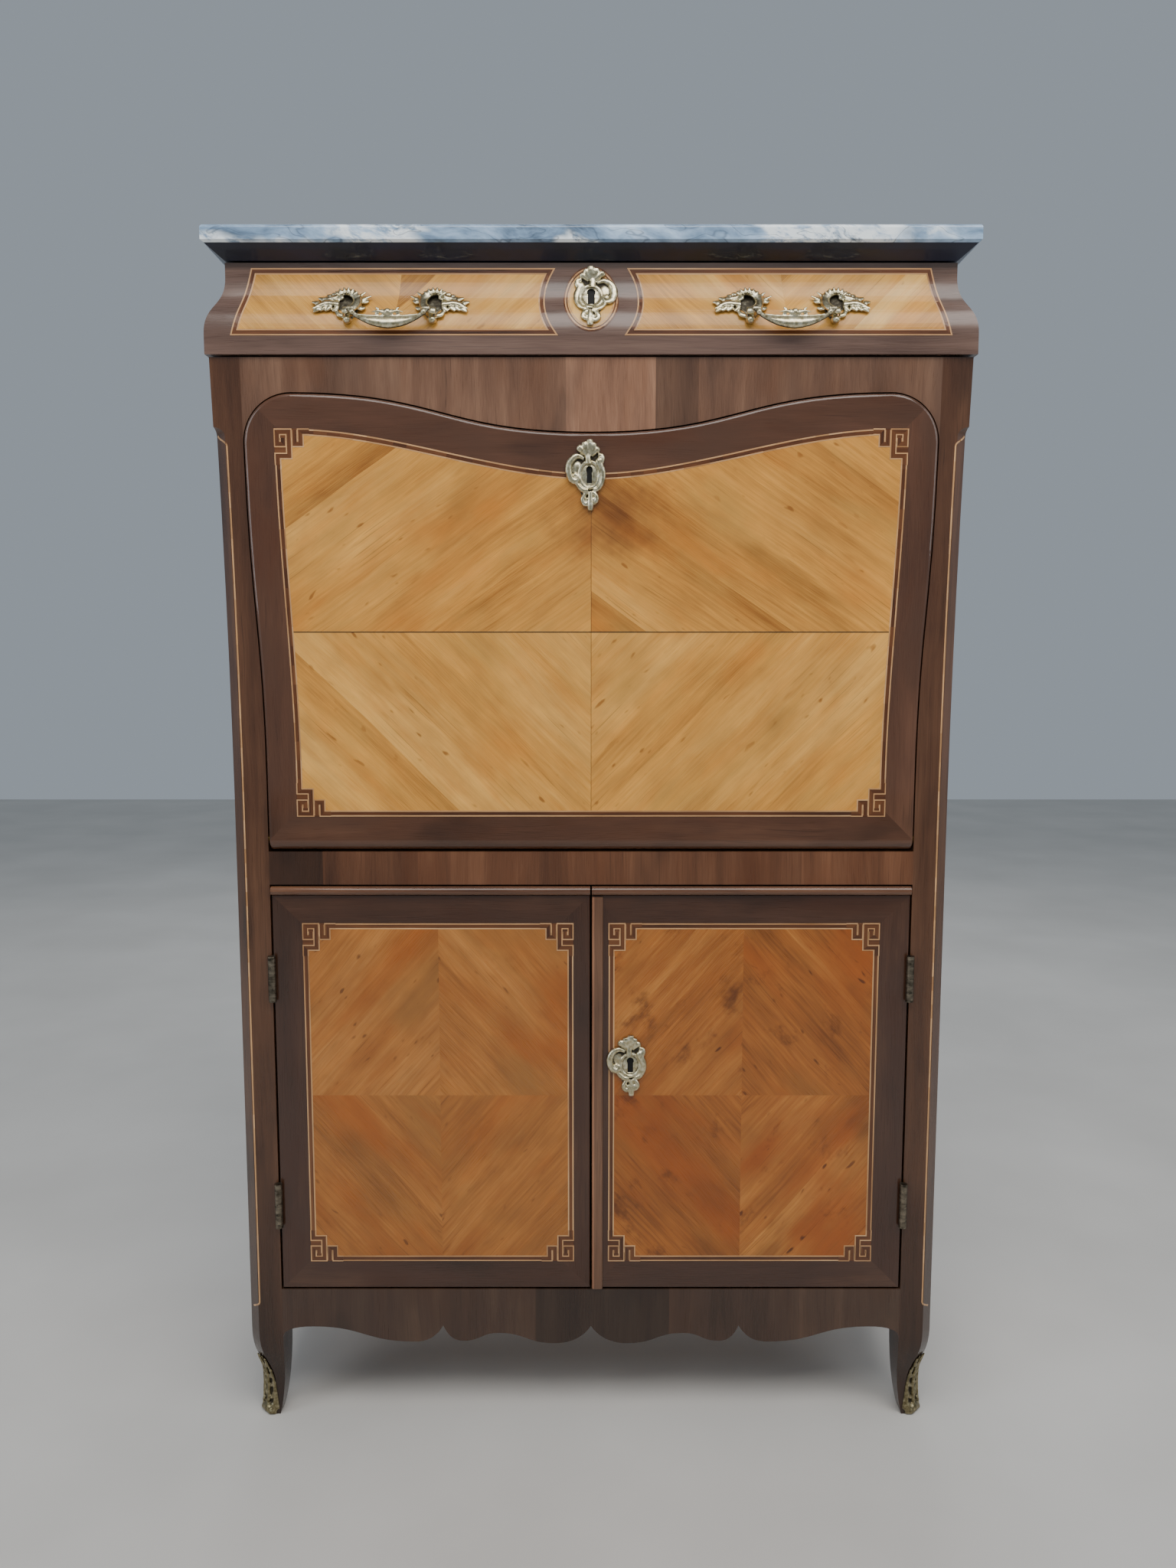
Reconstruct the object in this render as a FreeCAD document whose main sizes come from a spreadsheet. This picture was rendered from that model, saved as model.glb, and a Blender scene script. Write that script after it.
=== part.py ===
import FreeCAD, Part
import math
import os
import Sketcher

# Driving sizes of the escritoire, in millimetres.
SIZES = {
    # the case
    "case_width": 822,           # over the side panels, below the swelling
    "case_depth": 360,           # from the door faces to the back
    "post_face": 40.5,           # width of a front post beside the opening
    "rebate": 8.5,               # how far the back of a post stands inside its face
    "post_depth": 45,
    "side_thick": 18,
    "back_thick": 12,
    "board_thick": 16,           # floors and the shelf of the cupboard
    "joint_gap": 2,              # open joint around the doors, the fall and the drawer
    "stop_gap": 0.5,             # between a closed door and the rebate behind it
    "slide_clear": 0.3,          # between a sliding piece and what guides it
    "running_clear": 0.05,       # between a pin and its hole, on the radius
    "seat_gap": 0.3,             # between a plate and the swelling face that it is set on
    "press_overrun": 1,          # how far a cut runs past the face that it leaves
    # heights, from the floor upwards
    "floor_clear": 97.5,         # floor to the lowest point of the apron
    "apron_high": 69,
    "door_high": 488,            # with the moulding along its top
    "mid_rail_high": 38.5,
    "fall_high": 505.5,
    "frieze_high": 38.5,         # from the shoulders of the fall to the drawer
    "drawer_band_high": 105,
    "marble_thick": 32,
    # the swelling of the front and the sides towards the drawer
    "front_swell": 16,
    "side_swell": 4,
    # canted corners and feet
    "cant": 12,
    "cant_stop": 83,             # from the drawer down to the upper end of the cant
    "leg_high": 112,
    "toe_set": 10,               # how far the toe stands inside the case
    "toe_width": 22,
    "mount_high": 76,            # bronze leaf on the foot
    "mount_half": 12,
    "mount_thick": 4,
    # drawer band
    "drawer_overhang": 3.5,      # of the drawer band over the side of the case
    "drawer_bulge": 20,          # of the drawer in front of the doors
    "neck_set": 19.5,            # how far the neck lies behind the bulge
    "neck_thick": 35.5,
    "neck_high": 17,
    "bulge_high": 23,
    "sub_top_thick": 12,
    "dust_thick": 14,
    "drawer_board": 10,
    "drawer_bottom_thick": 6,
    "drawer_side_clear": 1,
    "drawer_end_gap": 14,
    # marble
    "marble_front": 21,          # in front of the doors
    "marble_over": 4,            # over the swollen side of the case
    "undercut_deep": 20,
    "undercut_high": 16,
    "marble_round": 4,
    # fall
    "door_thick": 22,            # of the doors, and of the fall behind the door faces
    "fall_proud": 5,
    "fall_spread": 11.5,         # how much wider each side of the fall is at its shoulders
    "fall_straight": 81,
    "fall_corner": 52,
    "fall_dip": 41.5,
    "fall_round": 3.5,
    "pivot_inset": 12,
    "pivot_radius": 3.5,
    "pivot_deep": 18,
    "bush_radius": 5.5,
    "bush_long": 12,
    "leather_margin": 42,
    "leather_thick": 1.5,
    "leather_low": 40,
    "leather_high": 330,
    # quadrant stays
    "stay_radius": 235,
    "stay_wide": 14,
    "stay_thick": 5,
    "stay_side_gap": 5,
    "stay_foot_high": 36,
    "stay_foot_thick": 3,
    "stay_stop_radius": 4,
    "guide_gap": 5,              # between the closed fall and the guide
    "guide_deep": 9,
    "guide_high": 30,
    "guide_wide": 14,
    # doors
    "door_round": 1.5,
    "moulding_high": 10,
    "moulding_proud": 6,
    "strip_wide": 13,
    "strip_proud": 4,
    "hinge_half": 27,
    "hinge_low": 105,            # from the foot of the door to the middle of the lower hinge
    "hinge_high": 380,
    "knuckle_radius": 4.5,
    "knuckle_clear": 0.3,
    "pin_radius": 2,
    "leaf_thick": 1.5,
    "leaf_deep": 16,
    # locks and bolts
    "lock_wide": 64,
    "lock_high": 48,
    "lock_thick": 12,
    "lock_top_gap": 4,
    "door_lock_edge": 4,
    "door_lock_level": 276,      # from the foot of the door
    "bolt_wide": 14,
    "bolt_thick": 6,
    "bolt_long": 26,
    "bolt_inset": 3,
    "bolt_throw": 9,
    "mortise_clear": 1,
    "slide_bolt_wide": 10,
    "slide_bolt_thick": 6,
    "slide_bolt_long": 92,
    "slide_bolt_edge": 20,
    "slide_bolt_lift": 2,
    "slide_bolt_knob": 4,
    "slide_bolt_knob_long": 10,
    "keep_wide": 22,
    "keep_high": 36,
    "keep_thick": 11,
    "keep_drop": 22,
    # escutcheons
    "plate_thick": 3,
    "drawer_plate_wide": 50,
    "drawer_plate_high": 62,
    "drawer_plate_level": 61,    # above the drawer's lower edge
    "fall_plate_wide": 44,
    "fall_plate_high": 75,
    "fall_plate_drop": 46,       # below the middle of the upper edge of the fall
    "door_plate_wide": 44,
    "door_plate_high": 73,
    "door_plate_edge": 46,
    "keyhole_radius": 2.6,
    "keyhole_slot": 2.4,
    "keyhole_long": 9,
    # drawer handles
    "handle_set": 153.5,         # from the side of the opening to the middle of a handle
    "handle_level": 44,          # of the bail's pins above the drawer's lower edge
    "bail_half": 38,
    "bail_drop": 16,
    "bail_bar": 10,              # height of the bail at its middle
    "bail_thick": 6,
    "bail_pin": 2,
    "bail_pin_long": 7,
    "pivot_out": 14,             # of the bail's pins in front of the bulge
    "boss_radius": 5,
    "boss_half": 4.5,
    "leaf_wide": 43,
    "leaf_high": 35,
    "leaf_rise": 9,              # middle of a handle leaf above the pins
    "leaf_out": 63,              # middle of a handle leaf from the middle of the handle
    "leaf_plate": 4,
    # cupboard
    "shelf_level": 235,          # above the cupboard floor
    "shelf_set": 6,
    "cleat": 18,
    # nest of pigeonholes
    "nest_depth": 180,
    "nest_board": 8,
    "nest_side_gap": 16,         # between the nest and the backs of the posts
    "nest_drawer_high": 110,
    "nest_hole_high": 150,
    "small_gap": 0.6,
    "small_front": 12,
    "small_board": 6,
    "small_bottom": 4,
    "small_end_gap": 5,
    "small_rim": 14,             # of a small drawer's front over its sides
    "knob_stem": 3,
    "knob_head": 7.5,
    "knob_stem_long": 6,
    "knob_long": 16,
}

# Shares of the apron's half length and of its height for the points of its scalloped edge.
APRON_CUSP_SHARES = (0.0, 0.32)
APRON_INNER_LOBE_SHARES = (0.119, 0.0)
APRON_INNER_ARCH_SHARES = (0.3, 0.19)
APRON_OUTER_LOW_SHARES = (0.415, 0.045)
APRON_OUTER_CUSP_SHARES = (0.479, 0.33)
APRON_OUTER_LOBE_SHARES = (0.572, 0.03)
APRON_END_ARCH_SHARES = (0.9, 0.31)
APRON_END_SHARES = (1.0, 0.1)
# Shares of the leg's height for the bends of the foot.
ANKLE_SHARE = 0.27
KNEE_SHARE = 0.5
FOOT_NARROW_SHARE = 0.2
# Shares of the half width and the height for the outline of an escutcheon, from its top.
PLATE_SHARES = ((0.0, 1.0), (0.42, 0.72), (0.95, 0.42), (0.62, 0.08), (0.9, -0.28),
                (0.4, -0.62), (0.0, -1.0))
# Shares for a handle leaf, from the end near the bail round to the tip.
LEAF_TIP_SHARES = (1.0, 0.75)
LEAF_BACK_SHARES = (0.15, 1.0)
LEAF_ROOT_SHARES = (-1.0, -0.55)
LEAF_BELLY_SHARES = (0.2, -1.0)
MOULDING_ROUND_SHARE = 0.49
STRIP_ROUND_SHARE = 0.8
CUSP_BEND_SHARE = 0.33
# Shares of the length of an edge at which its place is looked at.
EDGE_SHARES = (0.1, 0.5, 0.9)
# Share of the nest's half width that its open middle takes.
NICHE_SHARE = 0.3237

UP = FreeCAD.Vector(0, 0, 1)
RIGHT = FreeCAD.Vector(1, 0, 0)
BACK = FreeCAD.Vector(0, 1, 0)
OUTWARD = FreeCAD.Vector(math.sqrt(0.5), -math.sqrt(0.5), 0)
CROSSWISE = FreeCAD.Vector(math.sqrt(0.5), math.sqrt(0.5), 0)

doc = FreeCAD.newDocument("escritoire")
sheet = doc.addObject("Spreadsheet::Sheet", "Sizes")
for row, (alias, value) in enumerate(SIZES.items(), start=1):
    sheet.set(f"A{row}", str(value))
    sheet.setAlias(f"A{row}", alias)
doc.recompute()


class Size:
    """An expression in the sheet's aliases, bound to a property as text or read as a number."""

    def __init__(self, text):
        self.text = text

    def __str__(self):
        return self.text

    def __float__(self):
        return float(sheet.evalExpression(self.text))

    def __add__(self, other):
        return Size(f"({self} + {other})")

    def __radd__(self, other):
        return Size(f"({other} + {self})")

    def __sub__(self, other):
        return Size(f"({self} - {other})")

    def __rsub__(self, other):
        return Size(f"({other} - {self})")

    def __mul__(self, other):
        return Size(f"({self} * {other})")

    __rmul__ = __mul__

    def __truediv__(self, other):
        return Size(f"({self} / {other})")

    def __neg__(self):
        return Size(f"(-{self})")


class Sheet:
    """Gives every alias of the sheet as a Size."""

    def __getattr__(self, alias):
        return Size(f"Sizes.{alias}")


s = Sheet()

# Places that follow from the driving sizes. X is to the right, Y to the back and Z up.
case_half = s.case_width / 2
side_inner = case_half - s.side_thick
opening_half = case_half - s.post_face
inner_half = opening_half - s.rebate
case_back = (s.case_depth + s.drawer_bulge + s.pivot_out + s.boss_radius) / 2
door_plane = case_back - s.case_depth
door_back = door_plane + s.door_thick
rebate_plane = door_back + s.stop_gap
post_back = door_plane + s.post_depth
back_post_front = case_back - s.post_depth
panel_front = case_back - s.back_thick

apron_top = s.floor_clear + s.apron_high
door_low = apron_top + s.joint_gap
door_top = door_low + s.door_high
rail_low = door_top + s.joint_gap
rail_top = rail_low + s.mid_rail_high
fall_low = rail_top + s.joint_gap
fall_top = fall_low + s.fall_high
drawer_level = fall_top + s.frieze_high
marble_low = drawer_level + s.drawer_band_high
swell_low = fall_low + s.pivot_inset + s.joint_gap
swell_high = drawer_level - swell_low
swell_mid = drawer_level - swell_high / 2

fall_half = opening_half - s.joint_gap
shoulder_half = fall_half + s.fall_spread
shoulder_low = fall_top - s.fall_corner
fall_middle = fall_top - s.fall_dip
fall_face = door_plane - s.fall_proud
pivot_y = fall_face + s.pivot_inset
pivot_z = fall_low + s.pivot_inset
desk_level = pivot_z + door_back - pivot_y
desk_low = desk_level - s.board_thick
desk_front = rebate_plane + s.stop_gap

bulge_half = case_half + s.side_swell + s.drawer_overhang
neck_half = bulge_half - s.neck_set
bulge_front = door_plane - s.drawer_bulge
neck_front = bulge_front + s.neck_set
drawer_back = neck_front + s.neck_thick
bulge_top = drawer_level + s.bulge_high
neck_low = marble_low - s.neck_high
sub_top_low = marble_low - s.sub_top_thick
drawer_low = drawer_level + s.joint_gap

PIECES = []


def number(value):
    """The plain number behind a size."""
    return float(value)


def point(x, y, z):
    return FreeCAD.Vector(number(x), number(y), number(z))


def keep(label, piece):
    """Names a finished piece of the escritoire and lists it to be written."""
    piece.Label = label
    PIECES.append(piece)
    return piece


def solid(label, shape):
    """A finished piece whose curved form is made from outlines."""
    piece = doc.addObject("Part::Feature", label)
    piece.Shape = shape.removeSplitter()
    return keep(label, piece)


def box(name, x, y, z):
    """A block between the low and high places of each axis."""
    block = doc.addObject("Part::Box", name)
    for prop, axis, (low, high) in zip(("Length", "Width", "Height"), "xyz", (x, y, z)):
        block.setExpression(prop, f"{high} - {low}")
        block.setExpression(f"Placement.Base.{axis}", f"{low}")
    return block


def rod(name, radius, start, along, length):
    """A round bar from a start place along a direction."""
    bar = doc.addObject("Part::Cylinder", name)
    bar.setExpression("Radius", f"{radius}")
    bar.setExpression("Height", f"{length}")
    bar.Placement.Rotation = FreeCAD.Rotation(UP, along)
    for axis, place in zip("xyz", start):
        bar.setExpression(f"Placement.Base.{axis}", f"{place}")
    return bar


def fused(name, *parts):
    whole = doc.addObject("Part::MultiFuse", name)
    whole.Shapes = list(parts)
    whole.Refine = True
    return whole


def cut(name, base, *tools):
    rest = doc.addObject("Part::Cut", name)
    rest.Base = base
    rest.Tool = tools[0] if len(tools) == 1 else fused(f"{name}_cutters", *tools)
    return rest


def group(label, *parts):
    """Separate solids that are one named piece."""
    whole = doc.addObject("Part::Compound", label)
    whole.Links = list(parts)
    return keep(label, whole)


def mirrored(label, source):
    """The same piece on the other side of the middle plane."""
    other = doc.addObject("Part::Mirroring", label)
    other.Source = source
    other.Normal = RIGHT
    return other


def rounded(name, base, radius, chosen):
    """A block whose chosen edges are rounded; chosen looks at the middle of an edge."""
    doc.recompute()
    smooth = doc.addObject("Part::Fillet", name)
    smooth.Base = base
    size = number(radius)
    edges = enumerate(base.Shape.Edges, start=1)
    smooth.Edges = [(count, size, size) for count, edge in edges if chosen(edge.CenterOfMass)]
    return smooth


def near(place, value):
    """True where a measured place lies on a named one."""
    return abs(place - number(value)) < number(s.running_clear)


class Outline:
    """An outline in the plane of one level direction and the upright, drawn from place to place."""

    def __init__(self, across, start):
        self.across = across
        self.start = start
        self.last = self.place(start)
        self.edges = []

    def place(self, pair):
        return self.across * number(pair[0]) + UP * number(pair[1])

    def add(self, curve, end):
        self.edges.append(curve.toShape())
        self.last = end
        return self

    def line(self, *pairs):
        for pair in pairs:
            end = self.place(pair)
            self.add(Part.LineSegment(self.last, end), end)
        return self

    def bezier(self, *poles):
        curve = Part.BezierCurve()
        curve.setPoles([self.last, *poles])
        return self.add(curve, poles[-1])

    def bow(self, via, to):
        """A bend that leaves towards via and arrives from it."""
        return self.bezier(self.place(via), self.place(to))

    def ogee(self, to, along):
        """An S that leaves and arrives along one direction."""
        end = self.place(to)
        lead = along * ((end - self.last).dot(along) / 2)
        return self.bezier(self.last + lead, end - lead, end)

    def arc(self, centre, to):
        """A round bend about a centre, the short way."""
        end = self.place(to)
        middle = self.place(centre)
        radius = (self.last - middle).Length
        via = middle + ((self.last + end) / 2 - middle).normalize() * radius
        return self.add(Part.Arc(self.last, via, end), end)

    def prism(self, along, low, high):
        """Closes the outline and draws it out from a low to a high place along a direction."""
        if not self.last.isEqual(self.place(self.start), number(s.running_clear)):
            self.line(self.start)
        face = Part.Face(Part.Wire(self.edges))
        face.translate(along * number(low))
        return face.extrude(along * (number(high) - number(low)))


# Sheets of stock that the shaped pieces of the front are cut from.
def swollen_front(outline, face):
    """Goes up the front of the case: upright first, then swelling forward to the drawer."""
    outline.line((face, swell_low))
    return outline.bow((face, swell_mid), (face - s.front_swell, drawer_level))


def front_stock(back):
    """Full-width stock between the swelling front and a flat back."""
    outline = swollen_front(Outline(BACK, (back, 0)).line((door_plane, 0)), door_plane)
    return outline.line((back, drawer_level), (back, 0)).prism(RIGHT, -s.case_width, s.case_width)


def drawer_front_line(outline, forward):
    """Goes up the ogee of the drawer, moved forward."""
    outline.line((bulge_front - forward, bulge_top))
    outline.ogee((neck_front - forward, neck_low), UP)
    return outline.line((neck_front - forward, marble_low))


def drawer_stock(forward, back):
    """Full-width stock behind the ogee of the drawer."""
    outline = Outline(BACK, (back, drawer_level)).line((bulge_front - forward, drawer_level))
    drawer_front_line(outline, forward).line((back, marble_low), (back, drawer_level))
    return outline.prism(RIGHT, -s.case_width, s.case_width)


def outer_side(outline):
    """Goes down the outer side of the right post from the drawer to the leg."""
    return outline.bow((case_half, swell_mid), (case_half, swell_low)).line((case_half, s.leg_high))


def block(x, y, z):
    """A plain block as a shape, for cutting curved pieces."""
    low = point(x[0], y[0], z[0])
    high = point(x[1], y[1], z[1])
    return Part.makeBox(high.x - low.x, high.y - low.y, high.z - low.z, low)


def diagonal(x, y):
    """Distance along the outward diagonal of the right front corner."""
    return number(x - y) * math.sqrt(0.5)


# Right front post: a face beside the fall and the door, a back that forms the rebate, and the leg.
toe_outer = case_half - s.toe_set
toe_inner = toe_outer - s.toe_width
toe_front = door_plane + s.toe_set
toe_back = toe_front + s.toe_width
ankle = s.leg_high * ANKLE_SHARE
knee = s.leg_high * KNEE_SHARE


def leg_outline(across, inner, outer, inner_toe, outer_toe):
    """A leg that narrows to its toe, seen from the front or from the side."""
    outline = Outline(across, (inner, s.leg_high)).bow((inner, ankle), (inner_toe, 0))
    outline.line((outer_toe, 0), (outer_toe, ankle)).ogee((outer, s.leg_high), UP)
    return outline.line((inner, s.leg_high))


def post_outline(inner_edge):
    """The front view of a post above the leg; inner_edge draws its side towards the opening."""
    outline = inner_edge(s.leg_high)
    return outer_side(outline.line((case_half + s.side_swell, drawer_level)))


def face_edge(low):
    edge = Outline(RIGHT, (opening_half, low)).line((opening_half, fall_low + s.fall_straight))
    edge.ogee((opening_half + s.fall_spread, shoulder_low), UP)
    return edge.line((opening_half + s.fall_spread, drawer_level))


def rebate_edge(low):
    return Outline(RIGHT, (inner_half, low)).line((inner_half, drawer_level))


cant_deep = number(s.cant) * math.sqrt(0.5)
cant_top = drawer_level - s.cant_stop
cant_out = diagonal(case_half, door_plane) - cant_deep
stop_share = number(1 - s.cant_stop / swell_high) ** 2
stop_out = cant_out + diagonal(s.side_swell, -s.front_swell) * stop_share
toe_out = diagonal(toe_outer, toe_front) - cant_deep
ankle_out = toe_out - number(s.toe_width) * FOOT_NARROW_SHARE
core_out = diagonal(inner_half, post_back) - number(s.case_depth)


def foot_line(outline, forward):
    """Goes up the cant of the foot from the toe to the leg's head."""
    outline.bow((ankle_out + forward, ankle / 2), (ankle_out + forward, ankle))
    return outline.ogee((cant_out + forward, s.leg_high), UP)


def cant_stock():
    """Everything inside the canted corner."""
    free = stop_out + number(s.cant) * 2
    outline = foot_line(Outline(OUTWARD, (core_out, 0)).line((toe_out, 0)), 0)
    outline.line((cant_out, swell_low)).bow((cant_out, (swell_low + cant_top) / 2), (stop_out, cant_top))
    outline.bow((stop_out, cant_top + s.cant), (free, cant_top + s.cant))
    outline.line((free, drawer_level + s.press_overrun), (core_out, drawer_level + s.press_overrun))
    return outline.line((core_out, 0)).prism(CROSSWISE, -s.case_width, s.case_width)


hinge_x = opening_half - s.joint_gap / 2
hinge_y = door_plane - s.knuckle_radius - s.knuckle_clear
hinge_middles = (door_low + s.hinge_low, door_low + s.hinge_high)
door_edge = opening_half - s.joint_gap


def leaf_span(middle, upper):
    """Low and high ends of the upper or the lower half of a hinge."""
    if upper:
        return (middle + s.knuckle_clear / 2, middle + s.hinge_half)
    return (middle - s.hinge_half, middle - s.knuckle_clear / 2)


leg = leg_outline(RIGHT, opening_half, case_half, toe_inner, toe_outer)
leg = leg.prism(BACK, door_plane, post_back)
leg_side = leg_outline(BACK, post_back, door_plane, toe_back, toe_front)
leg = leg.common(leg_side.prism(RIGHT, 0, s.case_width))
face_part = post_outline(face_edge).prism(BACK, bulge_front - s.drawer_bulge, rebate_plane)
post = face_part.common(front_stock(rebate_plane))
rebate_part = post_outline(rebate_edge).prism(BACK, rebate_plane, post_back)
post = post.fuse([rebate_part, leg]).common(cant_stock())
leaf_x = (opening_half, opening_half + s.leaf_thick)
leaf_y = (door_plane - s.press_overrun, door_plane + s.leaf_deep)
leaf_cuts = [block(leaf_x, leaf_y, leaf_span(middle_z, False)) for middle_z in hinge_middles]
bush_place = point(opening_half, pivot_y, pivot_z)
bush_hole = Part.makeCylinder(number(s.bush_radius), number(s.bush_long), bush_place, RIGHT)
right_post = solid("right_front_post", post.cut([*leaf_cuts, bush_hole]))
keep("left_front_post", mirrored("left_front_post", right_post))

# Bronze leaves on the cants of the front feet.
leaf_middle = number(case_half + door_plane) * math.sqrt(0.5)
mount_thick = number(s.mount_thick)
band = foot_line(Outline(OUTWARD, (core_out, 0)).line((toe_out + mount_thick, 0)), mount_thick)
band.line((core_out, s.leg_high), (core_out, 0))
bronze = band.prism(CROSSWISE, -s.case_width, s.case_width).cut(cant_stock())
leaf_foot = number(s.mount_half) * (1 - FOOT_NARROW_SHARE)
leaf_belly = number(s.mount_half) * (1 + FOOT_NARROW_SHARE)
leaf = Outline(CROSSWISE, (leaf_middle - leaf_foot, 0)).line((leaf_middle + leaf_foot, 0))
leaf.bow((leaf_middle + leaf_belly, knee), (leaf_middle, s.mount_high))
leaf.bow((leaf_middle - leaf_belly, knee), (leaf_middle - leaf_foot, 0))
foot_mount = doc.addObject("Part::Feature", "right_foot_mount")
foot_mount.Shape = bronze.common(leaf.prism(OUTWARD, 0, s.case_width))
group("foot_mounts", foot_mount, mirrored("left_foot_mount", foot_mount))

# Back posts, side panels, moulded cheeks and the back.
back_leg = leg_outline(RIGHT, inner_half, case_half, toe_inner, toe_outer)
back_post = back_leg.prism(BACK, back_post_front, case_back)
back_post = back_post.fuse(post_outline(rebate_edge).prism(BACK, back_post_front, case_back))
right_back_post = solid("right_back_post", back_post)
keep("left_back_post", mirrored("left_back_post", right_back_post))

side_middle = (post_back + back_post_front) / 2
side_face = Outline(RIGHT, (side_inner, 0)).line((side_inner, drawer_level))
side_face.line((case_half + s.side_swell, drawer_level))
outer_side(side_face).line((case_half, 0), (side_inner, 0))
side_shape = Outline(BACK, (post_back, s.leg_high)).ogee((side_middle, s.floor_clear), BACK)
side_shape.ogee((back_post_front, s.leg_high), BACK).line((back_post_front, drawer_level))
side_shape.line((post_back, drawer_level), (post_back, s.leg_high))
side_panel = side_face.prism(BACK, post_back, back_post_front)
right_side = solid("right_side_panel", side_panel.common(side_shape.prism(RIGHT, 0, s.case_width)))
keep("left_side_panel", mirrored("left_side_panel", right_side))

cheek = Outline(RIGHT, (inner_half, marble_low)).line((inner_half, drawer_level))
cheek.line((bulge_half, drawer_level), (bulge_half, bulge_top)).ogee((neck_half, neck_low), UP)
cheek.line((neck_half, marble_low))
right_cheek = solid("right_drawer_cheek", cheek.prism(BACK, drawer_back + s.joint_gap / 2, case_back))
keep("left_drawer_cheek", mirrored("left_drawer_cheek", right_cheek))

keep("back_panel", box("back_panel", (-inner_half, inner_half), (panel_front, case_back),
                       (apron_top - s.board_thick, marble_low)))


def corner_notches(label, span, low, high):
    """Cutters for the two corners of a board that stand against posts."""
    beyond = side_inner + s.press_overrun
    right = box(f"{label}_right_notch", (inner_half, beyond), span, (low, high))
    return [right, mirrored(f"{label}_left_notch", right)]


def between_sides(label, front, low, high, *more_cuts):
    """A board from side to side, notched around the posts that it reaches."""
    plank = box(f"{label}_plank", (-side_inner, side_inner), (front, panel_front), (low, high))
    back_span = (back_post_front, panel_front + s.press_overrun)
    cuts = corner_notches(f"{label}_back", back_span, low, high)
    if number(front) < number(post_back):
        cuts += corner_notches(f"{label}_front", (front - s.press_overrun, post_back), low, high)
    return keep(label, cut(label, plank, *cuts, *more_cuts))


shelf_low = apron_top + s.shelf_level
between_sides("dust_board", rebate_plane, drawer_level - s.dust_thick, drawer_level)
between_sides("cupboard_floor", rebate_plane, apron_top - s.board_thick, apron_top)
between_sides("cupboard_shelf", post_back + s.shelf_set, shelf_low, shelf_low + s.board_thick)
cleat_y = (post_back + s.cleat, back_post_front)
cleat_z = (shelf_low - s.cleat, shelf_low)
right_cleat = box("right_cleat", (side_inner - s.cleat, side_inner), cleat_y, cleat_z)
group("shelf_cleats", right_cleat, mirrored("left_cleat", right_cleat))

# Rails of the front and the scalloped apron.
frieze = Outline(RIGHT, (0, drawer_level)).line((shoulder_half + s.joint_gap, drawer_level))
frieze.line((shoulder_half + s.joint_gap, shoulder_low))
corner_x = shoulder_half - s.fall_corner
frieze.arc((corner_x, shoulder_low), (corner_x, fall_top + s.joint_gap))
frieze.ogee((0, fall_middle + s.joint_gap), RIGHT)
frieze_half = frieze.prism(BACK, bulge_front - s.drawer_bulge, rebate_plane)
frieze_half = frieze_half.common(front_stock(rebate_plane))
frieze_rail = frieze_half.fuse(frieze_half.mirror(FreeCAD.Vector(), RIGHT))
bolt_back = door_back - s.bolt_inset
bolt_front = bolt_back - s.bolt_thick
bolt_slot = s.bolt_wide / 2 + s.mortise_clear
frieze_mortise = block((-bolt_slot, bolt_slot), (bolt_front - s.mortise_clear, bolt_back + s.mortise_clear),
                       (fall_middle, fall_middle + s.joint_gap + s.bolt_throw + s.mortise_clear))
solid("frieze_rail", frieze_rail.cut(frieze_mortise))

slide_bolt_x = (-s.slide_bolt_edge - s.slide_bolt_wide, -s.slide_bolt_edge)
slide_bolt_y = (door_back + s.slide_bolt_lift, door_back + s.slide_bolt_lift + s.slide_bolt_thick)
rail_z = (rail_low, rail_top)
rail_x = (-inner_half, inner_half)
rail_face = box("mid_rail_face", (-opening_half, opening_half), (door_plane, rebate_plane), rail_z)
rail_body = box("mid_rail_body", rail_x, (rebate_plane, post_back), rail_z)
rail_bearer = box("mid_rail_bearer", rail_x, (desk_front, post_back), (rail_low, desk_low))
rail_mortise = box("mid_rail_mortise",
                   (slide_bolt_x[0] - s.mortise_clear, slide_bolt_x[1] + s.mortise_clear),
                   (slide_bolt_y[0] - s.mortise_clear, slide_bolt_y[1] + s.mortise_clear),
                   (rail_low - s.press_overrun, rail_low + s.bolt_throw + s.mortise_clear))
rail = fused("mid_rail_wood", rail_face, rail_body, rail_bearer)
keep("mid_rail", cut("mid_rail", rail, rail_mortise))


def apron_place(shares):
    """A point of the apron's edge, from its shares of the half length and the height."""
    return (opening_half * shares[0], s.floor_clear + s.apron_high * shares[1])


def from_low_to_cusp(outline, low, cusp):
    """Rises from a level low point to a sharp cusp."""
    bend = (cusp[0] + (low[0] - cusp[0]) * CUSP_BEND_SHARE, low[1])
    return outline.bow(bend, cusp)


apron = Outline(RIGHT, (0, apron_top))
apron.line(apron_place(APRON_CUSP_SHARES))
lobe = apron_place(APRON_INNER_LOBE_SHARES)
apron.bow((lobe[0] * CUSP_BEND_SHARE, lobe[1]), lobe)
apron.ogee(apron_place(APRON_INNER_ARCH_SHARES), RIGHT)
apron.ogee(apron_place(APRON_OUTER_LOW_SHARES), RIGHT)
from_low_to_cusp(apron, apron_place(APRON_OUTER_LOW_SHARES), apron_place(APRON_OUTER_CUSP_SHARES))
cusp = apron_place(APRON_OUTER_CUSP_SHARES)
lobe = apron_place(APRON_OUTER_LOBE_SHARES)
apron.bow((cusp[0] + (lobe[0] - cusp[0]) * CUSP_BEND_SHARE, lobe[1]), lobe)
apron.ogee(apron_place(APRON_END_ARCH_SHARES), RIGHT)
arch = apron_place(APRON_END_ARCH_SHARES)
apron.bow((opening_half, arch[1]), apron_place(APRON_END_SHARES))
apron.line((opening_half, apron_top), (0, apron_top))
apron_half = apron.prism(BACK, door_plane, rebate_plane)
solid("apron", apron_half.fuse(apron_half.mirror(FreeCAD.Vector(), RIGHT)))

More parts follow.
